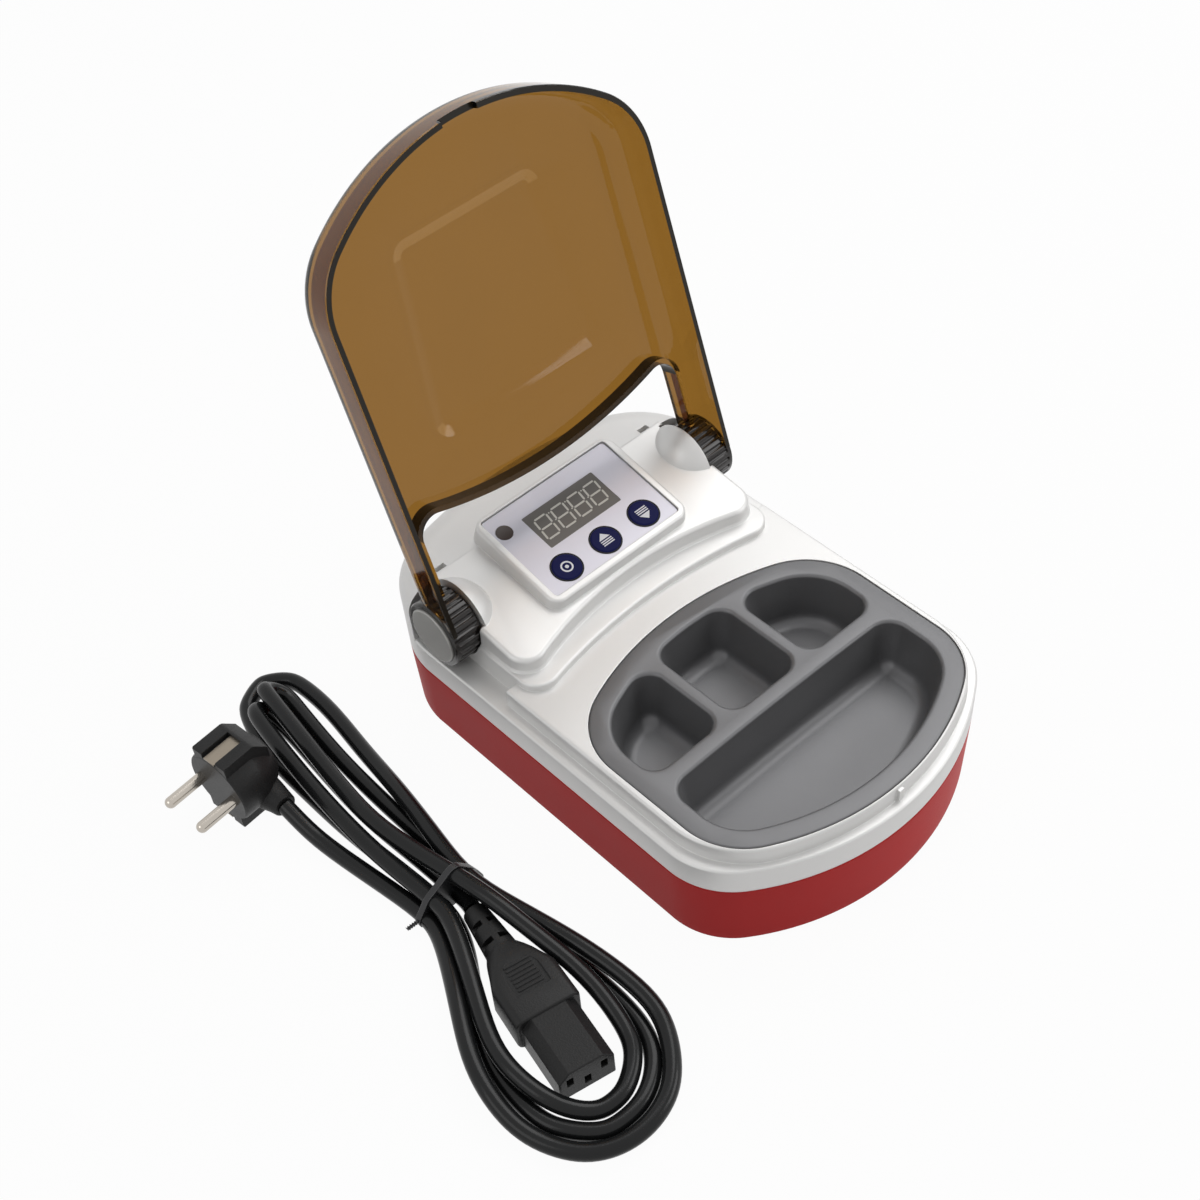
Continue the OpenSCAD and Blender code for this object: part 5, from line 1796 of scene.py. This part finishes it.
    def connector(self) -> Piece:
        """Makes the moulded connector: nose, grip with finger ribs, and shoulders.

        Returns:
            The connector, in its place.
        """
        mk = self.maker
        nose = [(-11.35, -7.8), (11.35, -7.8), (11.35, 3.4), (6.95, 7.8), (-6.95, 7.8), (-11.35, 3.4)]
        rings = [[(x, u * k, v * k) for u, v in nose] for x, k in ((-26.5, 1), (-0.5, 1), (0, 0.96))]
        body = mk.loft("connector_moulding", rings)
        tip = [
            (-60.6, 6.9, 6.9, 6.8), (-57, 8.6, 7.4, 5.6), (-53.6, 9.7, 8.2, 4.6), (-49, 11.4, 8.5, 3.9),
            (-44.2, 13.2, 8.95, 3.4), (-27.4, 13.45, 8.98, 3.4), (-26.6, 13.2, 8.8, 3.2),
            (-26.1, 12.6, 8.2, 2.8)]
        rings = [[(x, u, v) for u, v in RoundRect(w, w, -h, h, c, 8).line()] for x, w, h, c in tip]
        mk.cut(body, mk.loft("grip", rings), Cut.JOIN)
        arch = [(-36, -7.2), (-36, 7.2)] + arc(-44.4, 0, 7.2, 90, 270, 24)
        mk.cut(body, mk.loft("arch", [at_z(arch, 8.3), at_z(arch, 9.6)]), Cut.AWAY)
        for i in range(7):
            x = -49.6 + i * 1.85
            mk.cut(body, mk.box("rib", (x, -5.2, 8.0), (x + 0.85, 5.2, 8.75)), Cut.JOIN)
        for y, z in ((-7, 2), (7, 2), (0, -2)):
            mk.cut(body, mk.box("slot", (-18, y - 1.4, z - 2.4), (1, y + 1.4, z + 2.4)), Cut.AWAY)
        body.data.transform(self.connector_frame())
        mk.smooth(body, 30)
        return place(body, PLUG_BLACK, Body.BASE, "cord_black", "connector_body")

    def relief(self) -> Piece:
        """Makes the slotted strain relief.

        Returns:
            The relief, in its place.
        """
        mk = self.maker
        body = mk.turned("strain_relief", [(-82.2, 4.6), (-81.6, 4.9), (-60.8, 6.6), (-59.4, 6.6)], 64)
        for i in range(4):
            x = -79 + i * 4.4
            z0, z1 = (-9, -1.6) if i % 2 == 0 else (1.6, 9)
            for s in (-1, 1):
                y0, y1 = sorted((s * 1.2, s * 9))
                mk.cut(body, mk.box("slot", (x, y0, z0), (x + 2.4, y1, z1)), Cut.AWAY)
        body.data.transform(self.connector_frame())
        mk.smooth(body, 30)
        return place(body, PLUG_BLACK, Body.BASE, "cord_black", "connector_relief")

    def round_bundle(self, r: float, low: float, ys: Point2) -> list[Ring]:
        """Gives a strip pulled tight round the outer strands of the bundle.

        Args:
            r: distance from the strands' middles to the outline.
            low: lowest height of any point.
            ys: y of the strip's two edges.

        Returns:
            A ring at each edge, found as the farthest reach in every direction.
        """
        n = 96
        line = []
        for i in range(n):
            a = -2 * math.pi * i / n
            c, s = math.cos(a), math.sin(a)
            x, z = max(self.tied, key=lambda p: p[0] * c + p[1] * s)
            line.append((x + r * c, z + r * s))
        return [[(x, y, max(z, low)) for x, z in line] for y in ys]

    def tail(self) -> Piece:
        """Makes the twisted end of the tie.

        Returns:
            The solid, in its place.
        """
        steps, n, twist = 24, 16, 5 * math.pi
        rings = []
        for k in range(steps + 1):
            t = k / steps
            c, s = math.cos(t * twist), math.sin(t * twist)
            ring = []
            for i in range(n):
                b = 2 * math.pi * i / n
                u, v = 1.0 * math.cos(b), 0.5 * math.sin(b)
                ring.append((-143.4 - 5.2 * t, 0.3 * t + u * c - v * s, 4.6 - 0.2 * t + u * s + v * c))
            rings.append(ring)
        return self.maker.loft("tail", rings)

    def tie(self) -> Piece:
        """Makes the thin strip round the strands.

        Returns:
            The strip with its twisted end.
        """
        mk = self.maker
        band = mk.loft("tie_strip", self.round_bundle(4.25, 0.15, (1.3, -1.3)))
        mk.cut(band, mk.loft("hole", self.round_bundle(3.62, 0.75, (3, -3))), Cut.AWAY)
        obj = mk.join("tie_strip_all", [band, self.tail()])
        mk.smooth(obj, 40)
        return place(obj, TIE_BLACK, Body.BASE, "tie_black", "cord_tie")

    def build(self) -> None:
        cord, plug = self.cord(), self.plug()
        self.connector()
        self.relief()
        nodes = frame["nodes"]
        ends = [plug, nodes["plug_pins"], nodes["plug_earth_clips"], self.tie()]


def dress_cad() -> None:
    """Gives every CAD node that stays its own procedural finish."""
    for name, obj in frame["nodes"].items():
        paint = CAD_FINISH.get(name)
        if paint is None:
            continue
        for slot in obj.material_slots:
            slot.material = paint.material()
        LOG.info("%s dressed as %s", name, paint.name)


def main() -> None:
    """Builds everything in order."""
    logging.basicConfig(level=logging.INFO, format="%(message)s")
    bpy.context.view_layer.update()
    maker = Maker()
    Studio().build()
    CordSet(maker).build()
    dress_cad()
    Shell(maker).build()
    Cover(maker).build()
    Pot(maker).build()
    Lid(maker).build()
    PanelPrint(maker).build()


if __name__ == "__main__":
    main()
